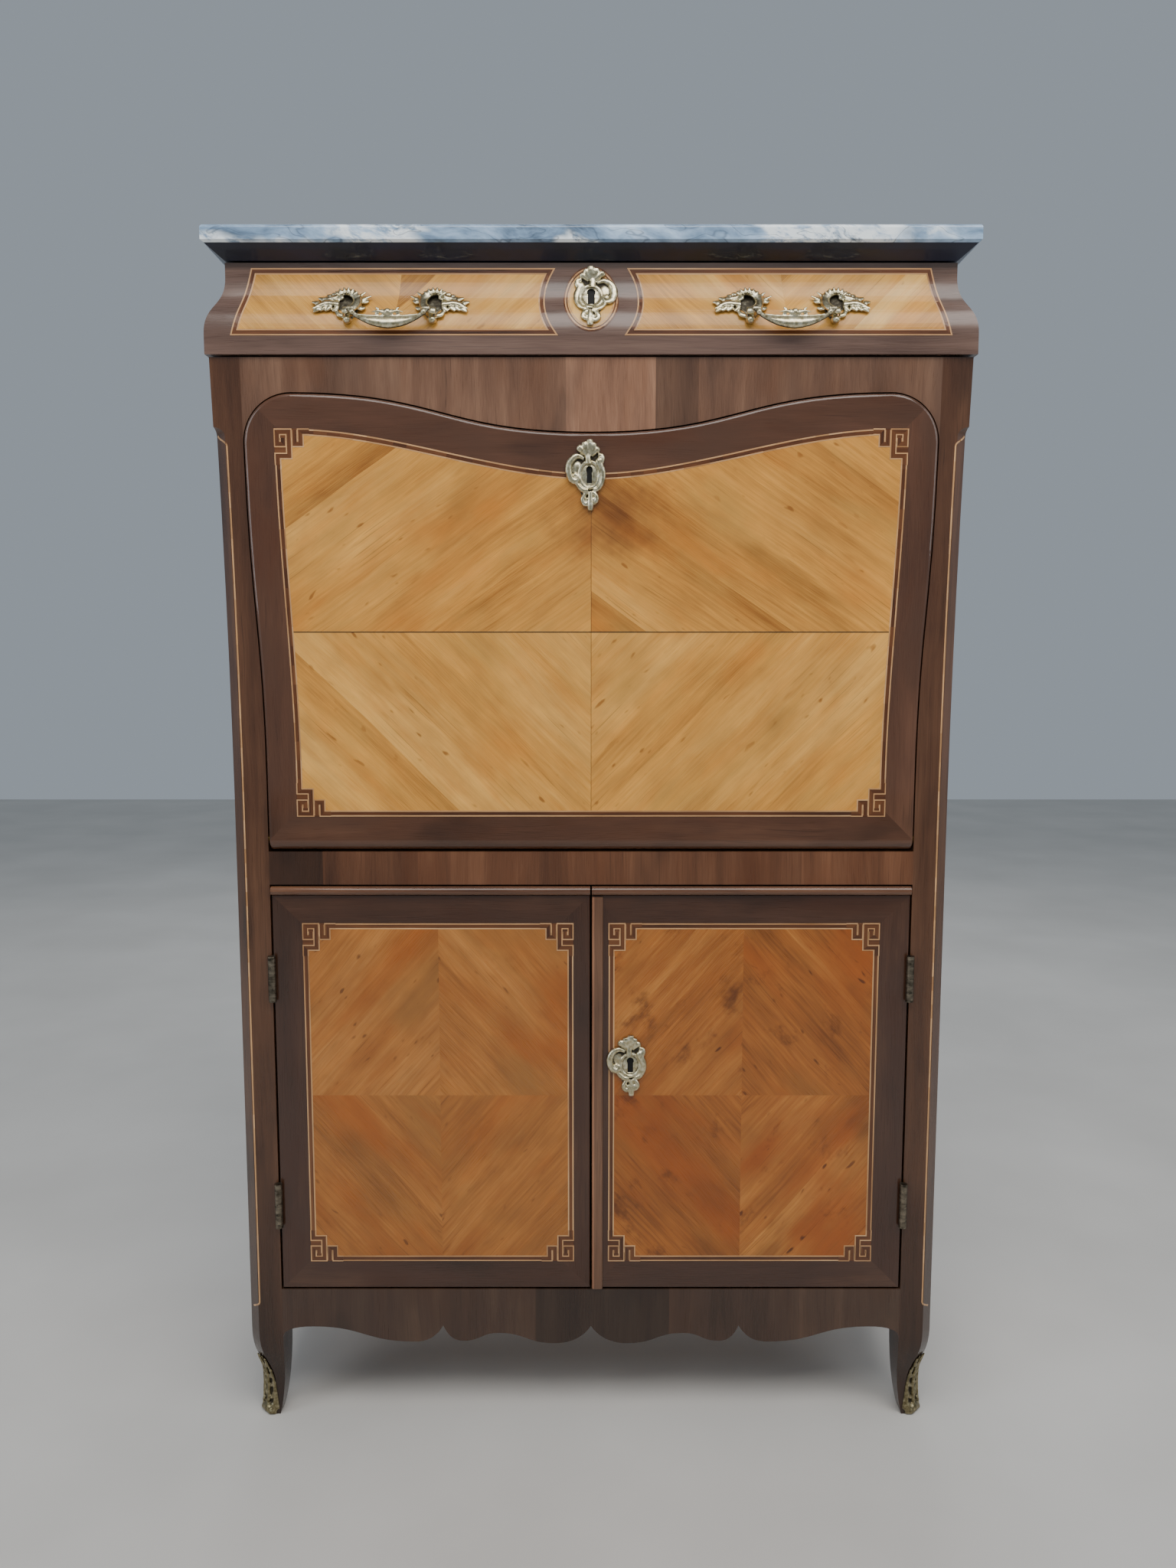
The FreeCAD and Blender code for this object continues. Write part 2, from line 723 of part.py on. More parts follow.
# Desk floor with the slots that the stays dip into.
stay_out = inner_half - s.stay_side_gap
stay_in = stay_out - s.stay_thick
stay_low = s.stay_radius - s.stay_wide / 2
stay_high = s.stay_radius + s.stay_wide / 2
slot_reach = s.stay_stop_radius + s.stay_wide
right_slot = box("right_stay_slot", (stay_in - s.joint_gap, stay_out + s.joint_gap),
                 (pivot_y + s.stay_radius - slot_reach, pivot_y + s.stay_radius + slot_reach),
                 (desk_low - s.press_overrun, desk_level + s.press_overrun))
left_slot = mirrored("left_stay_slot", right_slot)
between_sides("desk_floor", desk_front, desk_low, desk_level, right_slot, left_slot)

# Nest of pigeonholes on the desk floor.
nest_half = inner_half - s.nest_side_gap
niche_half = nest_half * NICHE_SHARE
nest_front = panel_front - s.nest_depth
nest_span = (nest_front, panel_front)
row_top = desk_level + s.nest_drawer_high
hole_low = row_top + s.nest_board
hole_top = hole_low + s.nest_hole_high
end_x = (nest_half - s.nest_board, nest_half)
niche_x = (niche_half, niche_half + s.nest_board)
quarter_x = (nest_half / 2, nest_half / 2 + s.nest_board)
middle_x = (-s.nest_board / 2, s.nest_board / 2)
shelf_x = (-nest_half, nest_half)
outer_upright = box("right_outer_upright", end_x, nest_span, (desk_level, row_top))
inner_upright = box("right_inner_upright", niche_x, nest_span, (desk_level, row_top))
lower_shelf = box("nest_lower_shelf", shelf_x, nest_span, (row_top, hole_low))
upper_shelf = box("nest_upper_shelf", shelf_x, nest_span, (hole_top, hole_top + s.nest_board))
group("nest_shelves", lower_shelf, upper_shelf)
middle_partition = box("middle_partition", middle_x, nest_span, (hole_low, hole_top))
partition = box("right_partition", quarter_x, nest_span, (hole_low, hole_top))
end_partition = box("right_end_partition", end_x, nest_span, (hole_low, hole_top))
right_uprights = [outer_upright, inner_upright, partition, end_partition]
group("nest_uprights", middle_partition, *right_uprights,
      *[mirrored(part.Name.replace("right", "left"), part) for part in right_uprights])


def drawn_sketch(body, name, role, corners):
    """A closed outline of straight sides in a body, each corner bound to its two sizes."""
    sketch = body.newObject("Sketcher::SketchObject", name)
    plane = next(feature for feature in body.Origin.OriginFeatures if feature.Role == role)
    sketch.AttachmentSupport = [(plane, "")]
    sketch.MapMode = "FlatFace"
    places = [FreeCAD.Vector(number(a), number(b), 0) for a, b in corners]
    for count, place in enumerate(places):
        sketch.addGeometry(Part.LineSegment(place, places[(count + 1) % len(places)]))
    for count in range(len(places)):
        sketch.addConstraint(Sketcher.Constraint("Coincident", count, 2, (count + 1) % len(places), 1))
    for count, pair in enumerate(corners):
        for kind, size in zip(("DistanceX", "DistanceY"), pair):
            index = sketch.addConstraint(Sketcher.Constraint(kind, -1, 1, count, 1, number(size)))
            sketch.setExpression(f"Constraints[{index}]", f"{size}")
    return sketch


def set_down(body, x, y, z):
    for axis, place in zip("xyz", (x, y, z)):
        body.setExpression(f"Placement.Base.{axis}", f"{place}")


# Small drawers in the nest, each with a turned knob.
small_half = (nest_half - s.nest_board - niche_half - s.nest_board) / 2 - s.small_gap
small_middle = (nest_half + niche_half) / 2
small_back = nest_front + s.small_front
small_end = panel_front - s.small_end_gap
small_low = desk_level + s.small_gap
small_top = row_top - s.small_gap
rim_top = small_top - s.small_rim


def small_drawer(side, middle):
    left = middle - small_half
    right = middle + small_half
    floor_top = small_low + s.small_bottom
    inside = (left + s.small_board, right - s.small_board)
    deep = (small_back, small_end)
    tail_front = small_end - s.small_board
    tall = (small_low, rim_top)
    front = box(f"{side}_small_front", (left, right), (nest_front, small_back), (small_low, small_top))
    near_side = box(f"{side}_small_near", (left, inside[0]), deep, tall)
    far_side = box(f"{side}_small_far", (inside[1], right), deep, tall)
    tail = box(f"{side}_small_tail", inside, (tail_front, small_end), tall)
    floor = box(f"{side}_small_floor", inside, (small_back, tail_front), (small_low, floor_top))
    group(f"{side}_small_drawer", front, near_side, far_side, tail, floor)
    body = doc.addObject("PartDesign::Body", f"{side}_small_knob")
    half_head = (s.knob_long + s.knob_stem_long) / 2
    turned = ((0, 0), (s.knob_stem, 0), (s.knob_stem, -s.knob_stem_long), (s.knob_head, -half_head),
              (s.knob_stem, -s.knob_long), (0, -s.knob_long))
    sketch = drawn_sketch(body, f"{side}_knob_outline", "XY_Plane", turned)
    turning = body.newObject("PartDesign::Revolution", f"{side}_knob_turning")
    turning.Profile = sketch
    turning.ReferenceAxis = (sketch, ["V_Axis"])
    set_down(body, middle, nest_front, (small_low + small_top) / 2)
    keep(f"{side}_small_knob", body)


small_drawer("left", -small_middle)
small_drawer("right", small_middle)

# Marble with an undercut edge at the front and the sides.
marble_half = case_half + s.side_swell + s.marble_over
marble = doc.addObject("PartDesign::Body", "marble_top")
marble_edge = door_plane - s.marble_front
slab_corners = ((-marble_half, marble_edge), (marble_half, marble_edge),
                (marble_half, case_back), (-marble_half, case_back))
slab_sketch = drawn_sketch(marble, "marble_outline", "XY_Plane", slab_corners)
slab = marble.newObject("PartDesign::Pad", "marble_slab")
slab.Profile = slab_sketch
slab.setExpression("Length", f"{s.marble_thick}")
set_down(marble, 0, 0, marble_low)
doc.recompute()


def rim_edges(shape, level):
    """Edges of a level face, without the one along the back."""
    edges = enumerate(shape.Edges, start=1)
    rim = [(count, edge.CenterOfMass) for count, edge in edges]
    return [f"Edge{count}" for count, place in rim
            if near(place.z, level) and not near(place.y, case_back)]


undercut = marble.newObject("PartDesign::Chamfer", "marble_undercut")
undercut.Base = (slab, rim_edges(slab.Shape, Size("0")))
undercut.ChamferType = 1
undercut.setExpression("Size", f"{s.undercut_high}")
undercut.setExpression("Size2", f"{s.undercut_deep}")
doc.recompute()
arris = marble.newObject("PartDesign::Fillet", "marble_arris")
arris.Base = (undercut, rim_edges(undercut.Shape, s.marble_thick))
arris.setExpression("Radius", f"{s.marble_round}")
keep("marble_top", marble)

# Drawer: a moulded front on a plain box.
front_view = Outline(RIGHT, (0, drawer_low)).line((bulge_half, drawer_low), (bulge_half, bulge_top))
front_view.ogee((neck_half, neck_low), UP).line((neck_half, marble_low - s.joint_gap))
front_view.line((0, marble_low - s.joint_gap), (0, drawer_low))
front_half = front_view.prism(BACK, bulge_front - s.drawer_bulge, drawer_back)
front_half = front_half.common(drawer_stock(0, drawer_back))
drawer_wood = front_half.fuse(front_half.mirror(FreeCAD.Vector(), RIGHT)).removeSplitter()
solid("drawer_front", drawer_wood)

drawer_half = inner_half - s.drawer_side_clear
drawer_in = drawer_half - s.drawer_board
drawer_end = panel_front - s.drawer_end_gap
drawer_foot = drawer_level + s.slide_clear
drawer_rim = sub_top_low - s.lock_top_gap
right_drawer_side = box("drawer_right_side", (drawer_in, drawer_half), (drawer_back, drawer_end),
                        (drawer_foot, drawer_rim))
keep("drawer_right_side", right_drawer_side)
keep("drawer_left_side", mirrored("drawer_left_side", right_drawer_side))
drawer_x = (-drawer_in, drawer_in)
drawer_tail = drawer_end - s.drawer_board
bottom_z = (drawer_foot, drawer_foot + s.drawer_bottom_thick)
keep("drawer_back", box("drawer_back", drawer_x, (drawer_tail, drawer_end), (drawer_foot, drawer_rim)))
keep("drawer_bottom", box("drawer_bottom", drawer_x, (drawer_back, drawer_tail), bottom_z))

lock_half = s.lock_wide / 2
bolt_half = s.bolt_wide / 2


def upright_lock(name, back, facing, top):
    """A lock case with an upright bolt; facing is 1 where the case lies behind its back plane."""
    deep = sorted((back, back + s.lock_thick * facing), key=number)
    bolt_far = (s.bolt_inset + s.bolt_thick) * facing
    bolt = sorted((back + s.bolt_inset * facing, back + bolt_far), key=number)
    slot_y = (bolt[0] - s.slide_clear, bolt[1] + s.slide_clear)
    slot_half = bolt_half + s.slide_clear
    bolt_low = top - s.bolt_long
    case = box(f"{name}_lock_case", (-lock_half, lock_half), deep, (top - s.lock_high, top))
    slot_z = (bolt_low - s.slide_clear, top + s.press_overrun)
    slot = box(f"{name}_lock_slot", (-slot_half, slot_half), slot_y, slot_z)
    keep(f"{name}_lock", cut(f"{name}_lock", case, slot))
    keep(f"{name}_bolt", box(f"{name}_bolt", (-bolt_half, bolt_half), bolt, (bolt_low, top)))
    return bolt


drawer_bolt = upright_lock("drawer", drawer_back, 1, drawer_rim)
sub_top = box("sub_top_board", (-inner_half, inner_half), (drawer_back + s.joint_gap / 2, panel_front),
              (sub_top_low, marble_low))
top_mortise = box("sub_top_mortise", (-bolt_slot, bolt_slot),
                  (drawer_bolt[0] - s.mortise_clear, drawer_bolt[1] + s.mortise_clear),
                  (sub_top_low - s.press_overrun, marble_low + s.press_overrun))
keep("sub_top", cut("sub_top", sub_top, top_mortise))


def cartouche(x, z, wide, high):
    """Outline of an escutcheon with scrolled sides about its middle."""
    one_side = [(wide / 2 * across, z + high / 2 * rise) for across, rise in PLATE_SHARES]
    ring = [(x + across, level) for across, level in one_side]
    ring += [(x - across, level) for across, level in reversed(one_side[:-1])]
    outline = Outline(RIGHT, ring[0])
    for via, to in zip(ring[1::2], ring[2::2]):
        outline.bow(via, to)
    return outline


def keyhole(x, z, low, high):
    """A round hole above a slot."""
    radius = number(s.keyhole_radius)
    start = point(x, low, z)
    hole = Part.makeCylinder(radius, number(high - low), start, BACK)
    slot_x = (x - s.keyhole_slot / 2, x + s.keyhole_slot / 2)
    return hole.fuse(block(slot_x, (low, high), (z - s.keyhole_long, z)))


def on_drawer(outline, thick):
    """A plate that lies on the ogee of the drawer."""
    skin = drawer_stock(number(thick), drawer_back).cut(drawer_stock(0, drawer_back))
    return outline.prism(BACK, bulge_front - s.drawer_bulge, drawer_back).common(skin)


plate_level = drawer_low + s.drawer_plate_level
far_front = bulge_front - s.drawer_bulge
plate = cartouche(Size("0"), plate_level, s.drawer_plate_wide, s.drawer_plate_high)
plate = on_drawer(plate, s.plate_thick).cut(keyhole(Size("0"), plate_level, far_front, drawer_back))
solid("drawer_escutcheon", plate)

# Handles: leaf plates with bosses that hold the pins of a crescent bail.
handle_place = opening_half - s.handle_set
pin_level = drawer_low + s.handle_level
pin_y = bulge_front - s.pivot_out
boss_place = s.bail_half + s.boss_half


def handle_leaf(side):
    """The leaf plate at the right or left end of the right handle."""
    middle = handle_place + s.leaf_out * side
    rise = pin_level + s.leaf_rise

    def at(shares):
        return (middle + s.leaf_wide / 2 * side * shares[0], rise + s.leaf_high / 2 * shares[1])

    outline = Outline(RIGHT, at(LEAF_ROOT_SHARES)).bow(at(LEAF_BACK_SHARES), at(LEAF_TIP_SHARES))
    plate = on_drawer(outline.bow(at(LEAF_BELLY_SHARES), at(LEAF_ROOT_SHARES)), s.leaf_plate)
    start = point(handle_place + boss_place * side, pin_y - s.boss_radius, pin_level)
    boss = Part.makeCylinder(number(s.boss_radius), number(drawer_back - pin_y), start, BACK)
    boss = boss.cut(drawer_stock(0, drawer_back))
    hole_start = point(handle_place + (s.bail_half - s.boss_half) * side, pin_y, pin_level)
    hole_long = number(s.bail_pin_long + s.boss_half + s.running_clear)
    hole = Part.makeCylinder(number(s.bail_pin + s.running_clear), hole_long, hole_start, RIGHT * side)
    return plate.fuse(boss).cut(hole)


outer_leaf = doc.addObject("Part::Feature", "right_outer_leaf")
outer_leaf.Shape = handle_leaf(1)
inner_leaf = doc.addObject("Part::Feature", "right_inner_leaf")
inner_leaf.Shape = handle_leaf(-1)
group("handle_mounts", outer_leaf, inner_leaf,
      mirrored("left_outer_leaf", outer_leaf), mirrored("left_inner_leaf", inner_leaf))

bail_end = s.bail_half - s.bail_thick / 2
bail_x = (handle_place - bail_end, handle_place + bail_end)
bail_z = (pin_level - s.bail_pin, pin_level + s.bail_pin)
crescent = Outline(RIGHT, (bail_x[0], bail_z[1]))
crescent.bow((handle_place, pin_level - 2 * (s.bail_drop - s.bail_bar)), (bail_x[1], bail_z[1]))
crescent.line((bail_x[1], bail_z[0]))
crescent.bow((handle_place, pin_level - 2 * s.bail_drop), (bail_x[0], bail_z[0]))
bail = crescent.prism(BACK, pin_y - s.bail_thick / 2, pin_y + s.bail_thick / 2)
pin_reach = s.bail_half + s.bail_pin_long - s.boss_half
pin_start = point(handle_place - pin_reach, pin_y, pin_level)
pins = Part.makeCylinder(number(s.bail_pin), number(2 * pin_reach), pin_start, RIGHT)
gap_between = block(bail_x, (bulge_front - s.case_depth, case_back),
                    (pin_level - s.case_depth, pin_level + s.case_depth))
right_bail = solid("right_bail", bail.fuse(pins.cut(gap_between)))
keep("left_bail", mirrored("left_bail", right_bail))

# Fall: a board with a rounded foot that turns on two pivots.
fall_view = Outline(RIGHT, (0, fall_low)).line((fall_half, fall_low))
fall_view.line((fall_half, fall_low + s.fall_straight)).ogee((shoulder_half, shoulder_low), UP)
fall_view.arc((corner_x, shoulder_low), (corner_x, fall_top)).ogee((0, fall_middle), RIGHT)
foot_reach = math.sqrt(number(door_back - pivot_y) ** 2 - number(s.pivot_inset) ** 2)
foot_back = number(pivot_y) + foot_reach
fall_side = Outline(BACK, (foot_back, fall_low)).line((pivot_y, fall_low))
fall_side.arc((pivot_y, pivot_z), (fall_face, pivot_z))
swollen_front(fall_side, fall_face).line((door_back, drawer_level), (door_back, pivot_z))
fall_side.arc((pivot_y, pivot_z), (foot_back, fall_low))
fall_stock = fall_side.prism(RIGHT, -s.case_width, s.case_width)
fall_half_board = fall_view.prism(BACK, far_front, door_back).common(fall_stock)
fall_board = fall_half_board.fuse(fall_half_board.mirror(FreeCAD.Vector(), RIGHT)).removeSplitter()


def on_fall_face(edge):
    """True for an edge around the front of the fall, above its rounded foot."""
    places = [edge.valueAt(edge.FirstParameter + (edge.LastParameter - edge.FirstParameter) * share)
              for share in EDGE_SHARES]
    rise = [max(place.z - number(swell_low), 0) / number(swell_high) for place in places]
    faces = [number(fall_face) - number(s.front_swell) * share ** 2 for share in rise]
    on_face = all(near(place.y, Size(f"{face}")) for place, face in zip(places, faces))
    return on_face and places[1].z > number(pivot_z + s.running_clear)


face_edges = [edge for edge in fall_board.Edges if on_fall_face(edge)]
fall_board = fall_board.makeFillet(number(s.fall_round), face_edges)
leather_half = fall_half - s.leather_margin
leather_span = (pivot_z + s.leather_low, pivot_z + s.leather_low + s.leather_high)
leather_y = (door_back - s.leather_thick, door_back)
leather_x = (-leather_half, leather_half)
behind_fall = door_back + s.press_overrun
leather_recess = block(leather_x, (leather_y[0], behind_fall), leather_span)
lock_pocket = block((-lock_half, lock_half), (door_back - s.lock_thick, behind_fall),
                    (fall_middle - s.lock_high, fall_top))
pin_inner = fall_half - s.pivot_deep
pin_length = opening_half + s.bush_long - s.press_overrun - pin_inner
pin_place = point(pin_inner, pivot_y, pivot_z)
right_pin_hole = Part.makeCylinder(number(s.pivot_radius), number(pin_length), pin_place, RIGHT)
left_pin_hole = right_pin_hole.mirror(FreeCAD.Vector(), RIGHT)
solid("fall_board", fall_board.cut([leather_recess, lock_pocket, right_pin_hole, left_pin_hole]))
keep("fall_leather", box("fall_leather", leather_x, leather_y, leather_span))
upright_lock("fall", door_back, -1, fall_middle)

right_pivot = rod("right_pivot", s.pivot_radius, (pin_inner, pivot_y, pivot_z), RIGHT, pin_length)
group("fall_pivots", right_pivot, mirrored("left_pivot", right_pivot))
bush_start = (opening_half, pivot_y, pivot_z)
right_bush = cut("right_bush", rod("right_bush_brass", s.bush_radius, bush_start, RIGHT, s.bush_long),
                 rod("right_bush_bore", s.pivot_radius + s.running_clear, bush_start, RIGHT, s.bush_long))
group("pivot_bushes", right_bush, mirrored("left_bush", right_bush))

# Escutcheon of the fall, on its swelling face.
fall_plate_level = fall_middle - s.fall_plate_drop
fall_skin = fall_stock.copy()
fall_skin.translate(BACK * -number(s.plate_thick + s.seat_gap))
fall_seat = fall_stock.copy()
fall_seat.translate(BACK * -number(s.seat_gap))
fall_plate = cartouche(Size("0"), fall_plate_level, s.fall_plate_wide, s.fall_plate_high)
fall_plate = fall_plate.prism(BACK, far_front, pivot_y).common(fall_skin).cut(fall_seat)
fall_keyhole = keyhole(Size("0"), fall_plate_level, far_front, door_back)
solid("fall_escutcheon", fall_plate.cut(fall_keyhole))

# Quadrant stays about the pivots, with the guides that they run through.
guide_front = door_back + s.guide_gap
guide_back = guide_front + s.guide_deep
stop_reach = guide_back + s.stay_stop_radius + s.slide_clear - pivot_y
stop_turn = math.pi / 2 + math.asin(number(stop_reach) / number(s.stay_radius))
tail_turn = stop_turn + number(s.stay_stop_radius) / number(s.stay_radius)


def around_pivot(radius, turn):
    """A place at a radius about the pivots, turned back from the upright."""
    reach = number(radius)
    return (number(pivot_y) + reach * math.sin(turn), number(pivot_z) + reach * math.cos(turn))


def stay_root(radius):
    """The turn at which a stay leaves the back of the fall."""
    return math.asin(number(door_back - pivot_y) / number(radius))


pivot = (pivot_y, pivot_z)
stay = Outline(BACK, around_pivot(stay_high, stay_root(stay_high)))
stay.arc(pivot, around_pivot(stay_high, tail_turn)).line(around_pivot(stay_low, tail_turn))
stay.arc(pivot, around_pivot(stay_low, stay_root(stay_low)))
stay_bar = stay.prism(RIGHT, stay_in, stay_out)
foot_level = pivot_z + s.stay_radius
foot_x = (stay_in - s.joint_gap, stay_out + s.joint_gap)
foot_z = (foot_level - s.stay_foot_high / 2, foot_level + s.stay_foot_high / 2)
stay_foot = block(foot_x, (door_back, door_back + s.stay_foot_thick), foot_z)
stop_y, stop_z = around_pivot(s.stay_radius, stop_turn)
stay_stop = Part.makeCylinder(number(s.stay_stop_radius), number(s.stay_thick + s.joint_gap * 2),
                              point(stay_in - s.joint_gap, Size(f"{stop_y}"), Size(f"{stop_z}")), RIGHT)
right_stay = doc.addObject("Part::Feature", "right_stay")
right_stay.Shape = stay_bar.fuse([stay_foot, stay_stop]).removeSplitter()
group("fall_stays", right_stay, mirrored("left_stay", right_stay))

ring_x = (stay_in - s.slide_clear, stay_out + s.slide_clear)
ring_start = (ring_x[0], pivot_y, pivot_z)
ring_long = ring_x[1] - ring_x[0]
ring_outer = rod("right_slot_outer", stay_high + s.slide_clear, ring_start, RIGHT, ring_long)
ring_inner = rod("right_slot_inner", stay_low - s.slide_clear, ring_start, RIGHT, ring_long)
ring = cut("right_guide_slot", ring_outer, ring_inner)
guide_level = foot_level - s.guide_gap
guide_block = box("right_guide_block", (inner_half - s.guide_wide, inner_half), (guide_front, guide_back),
                  (guide_level - s.guide_high / 2, guide_level + s.guide_high / 2))
right_guide = cut("right_guide", guide_block, ring)
group("stay_guides", right_guide, mirrored("left_guide", right_guide))

# Doors with hinge leaves let into their edges, a moulding along the top and a meeting strip.
door_gap = s.joint_gap / 2
panel_top = door_top - s.moulding_high
leaf_inner = door_edge - s.leaf_thick


def on_front(place):
    return near(place.y, door_plane)


door_x = (door_gap, door_edge)
door_block = box("right_door_block", door_x, (door_plane, door_back), (door_low, panel_top))
door_wood = rounded("right_door_wood", door_block, s.door_round, on_front)
recess_x = (leaf_inner, door_edge + s.press_overrun)
leaf_recesses = [box(f"right_recess_{count}", recess_x, leaf_y, leaf_span(middle_z, True))
                 for count, middle_z in enumerate(hinge_middles)]
right_door = keep("right_door_panel", cut("right_door_panel", door_wood, *leaf_recesses))
keep("left_door_panel", mirrored("left_door_panel", right_door))

moulding_front = door_plane - s.moulding_proud
moulding = box("right_moulding_block", door_x, (moulding_front, door_back), (panel_top, door_top))


def on_moulding_front(place):
    return near(place.y, moulding_front) and not near(place.z, (panel_top + door_top) / 2)


moulding_round = s.moulding_high * MOULDING_ROUND_SHARE
right_moulding = rounded("right_door_moulding", moulding, moulding_round, on_moulding_front)
keep("right_door_moulding", right_moulding)
keep("left_door_moulding", mirrored("left_door_moulding", right_moulding))

strip_front = door_plane - s.strip_proud
strip = box("meeting_strip_block", (door_gap, door_gap + s.strip_wide), (strip_front, door_plane),
            (door_low, panel_top - s.joint_gap))


def on_strip_sides(place):
    return near(place.y, strip_front) and near(place.z, (door_low + panel_top - s.joint_gap) / 2)


strip_round = s.strip_proud * STRIP_ROUND_SHARE
keep("meeting_strip", rounded("meeting_strip", strip, strip_round, on_strip_sides))


def hinge_half_piece(name, leaf_x, span, bore):
    """A leaf with its knuckle."""
    long = span[1] - span[0]
    start = (hinge_x, hinge_y, span[0])
    plate = box(f"{name}_leaf", leaf_x, (hinge_y, door_plane + s.leaf_deep), span)
    knuckle = rod(f"{name}_knuckle", s.knuckle_radius, start, UP, long)
    brass = fused(f"{name}_brass", plate, knuckle)
    return cut(name, brass, rod(f"{name}_bore", bore, start, UP, long))


post_parts = []
door_parts = []
for count, middle_z in enumerate(hinge_middles):
    low_span = leaf_span(middle_z, False)
    high_span = leaf_span(middle_z, True)
    pin_foot = (hinge_x, hinge_y, low_span[0])
    loose = s.pin_radius + s.running_clear
    door_leaf_x = (leaf_inner, door_edge)
    post_parts.append(hinge_half_piece(f"right_post_hinge_{count}", leaf_x, low_span, s.pin_radius))
    post_parts.append(rod(f"right_hinge_pin_{count}", s.pin_radius, pin_foot, UP, s.hinge_half * 2))
    door_parts.append(hinge_half_piece(f"right_door_hinge_{count}", door_leaf_x, high_span, loose))
left_post_parts = [mirrored(f"left_{part.Name}", part) for part in post_parts]
left_door_parts = [mirrored(f"left_{part.Name}", part) for part in door_parts]
group("post_hinges", *post_parts, *left_post_parts)
group("right_door_hinges", *door_parts)
group("left_door_hinges", *left_door_parts)

# Lock of the right door; its bolt slides behind the left door.
lock_level = door_low + s.door_lock_level
lock_start = door_gap + s.door_lock_edge
bolt_y = (door_back + s.bolt_inset, door_back + s.bolt_inset + s.bolt_thick)
bolt_z = (lock_level - bolt_half, lock_level + bolt_half)
lock_x = (lock_start, lock_start + s.lock_wide)
lock_z = (lock_level - s.lock_high / 2, lock_level + s.lock_high / 2)
lock_case = box("door_lock_case", lock_x, (door_back, door_back + s.lock_thick), lock_z)
lock_slot = box("door_lock_slot", (lock_start - s.press_overrun, lock_start + s.bolt_long + s.slide_clear),
                (bolt_y[0] - s.slide_clear, bolt_y[1] + s.slide_clear),
                (bolt_z[0] - s.slide_clear, bolt_z[1] + s.slide_clear))
keep("door_lock", cut("door_lock", lock_case, lock_slot))
keep("door_bolt", box("door_bolt", (lock_start, lock_start + s.bolt_long), bolt_y, bolt_z))
door_plate = cartouche(s.door_plate_edge, lock_level, s.door_plate_wide, s.door_plate_high)
door_plate = door_plate.prism(BACK, door_plane - s.plate_thick, door_plane)
solid("door_escutcheon", door_plate.cut(keyhole(s.door_plate_edge, lock_level, bulge_front, door_back)))

# Bolt at the top of the left door, with the keep that guides it.
slide_top = door_top - s.joint_gap / 2
slide_low = slide_top - s.slide_bolt_long
slide_bar = box("left_bolt_bar", slide_bolt_x, slide_bolt_y, (slide_low, slide_top))
slide_middle = (slide_bolt_x[0] + slide_bolt_x[1]) / 2
slide_knob = rod("left_bolt_knob", s.slide_bolt_knob,
                 (slide_middle, slide_bolt_y[1] - s.slide_bolt_lift, slide_low + s.slide_bolt_knob), BACK,
                 s.slide_bolt_knob_long)
keep("left_door_bolt", fused("left_door_bolt", slide_bar, slide_knob))
keep_x = (slide_middle - s.keep_wide / 2, slide_middle + s.keep_wide / 2)
keep_top = slide_top - s.keep_drop
keep_z = (keep_top - s.keep_high, keep_top)
keep_block = box("left_keep_block", keep_x, (door_back, door_back + s.keep_thick), keep_z)
keep_slot = box("left_keep_slot", (slide_bolt_x[0] - s.slide_clear, slide_bolt_x[1] + s.slide_clear),
                (slide_bolt_y[0] - s.slide_clear, slide_bolt_y[1] + s.slide_clear),
                (keep_z[0] - s.press_overrun, keep_z[1] + s.press_overrun))
keep("left_bolt_keep", cut("left_bolt_keep", keep_block, keep_slot))

doc.recompute()
for item in doc.Objects:
    if "Invalid" in item.State or "Error" in item.State:
        raise RuntimeError(f"{item.Label} failed: {item.State}")
for piece in PIECES:
    if piece.Shape.isNull() or not piece.Shape.isValid():
        raise RuntimeError(f"{piece.Label} has no sound shape")

os.makedirs("parts", exist_ok=True)
for piece in PIECES:
    piece.Shape.exportStep(f"parts/{piece.Label}.step")
print(f"{len(PIECES)} pieces written")
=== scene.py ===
import bmesh
import bpy
import math
from mathutils import Matrix, Vector
from mathutils.bvhtree import BVHTree


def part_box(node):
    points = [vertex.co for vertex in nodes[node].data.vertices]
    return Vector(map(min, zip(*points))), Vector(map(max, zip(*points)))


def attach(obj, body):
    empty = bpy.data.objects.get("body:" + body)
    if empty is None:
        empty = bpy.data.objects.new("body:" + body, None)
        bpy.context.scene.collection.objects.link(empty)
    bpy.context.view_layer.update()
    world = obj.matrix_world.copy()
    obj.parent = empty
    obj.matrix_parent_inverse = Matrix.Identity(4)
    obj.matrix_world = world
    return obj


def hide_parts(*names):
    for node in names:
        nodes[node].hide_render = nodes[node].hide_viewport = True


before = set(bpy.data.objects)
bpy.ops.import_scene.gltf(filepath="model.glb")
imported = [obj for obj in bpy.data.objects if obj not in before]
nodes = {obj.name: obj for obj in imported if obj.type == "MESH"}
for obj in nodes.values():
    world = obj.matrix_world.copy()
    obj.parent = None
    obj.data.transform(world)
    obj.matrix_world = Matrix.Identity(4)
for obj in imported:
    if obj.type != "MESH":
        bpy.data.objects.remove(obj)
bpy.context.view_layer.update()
MM = 0.001
SIDES = (("left", -1), ("right", 1))
WHITE = (1, 1, 1, 1)
FULL_TONE = 255
SCREEN_GAMMA = 2.2
NOISE_MIDDLE = 0.5


def paint(red, green, blue):
    """A colour named as it looks, turned into the linear values of a shader."""
    return (*[(part / FULL_TONE) ** SCREEN_GAMMA for part in (red, green, blue)], 1)


def paints(*colours):
    return [paint(*colour) for colour in colours]


def grey(tone):
    return (tone, tone, tone, 1)


def shaded(colour, shares):
    return [part * share for part, share in zip(colour, shares)]


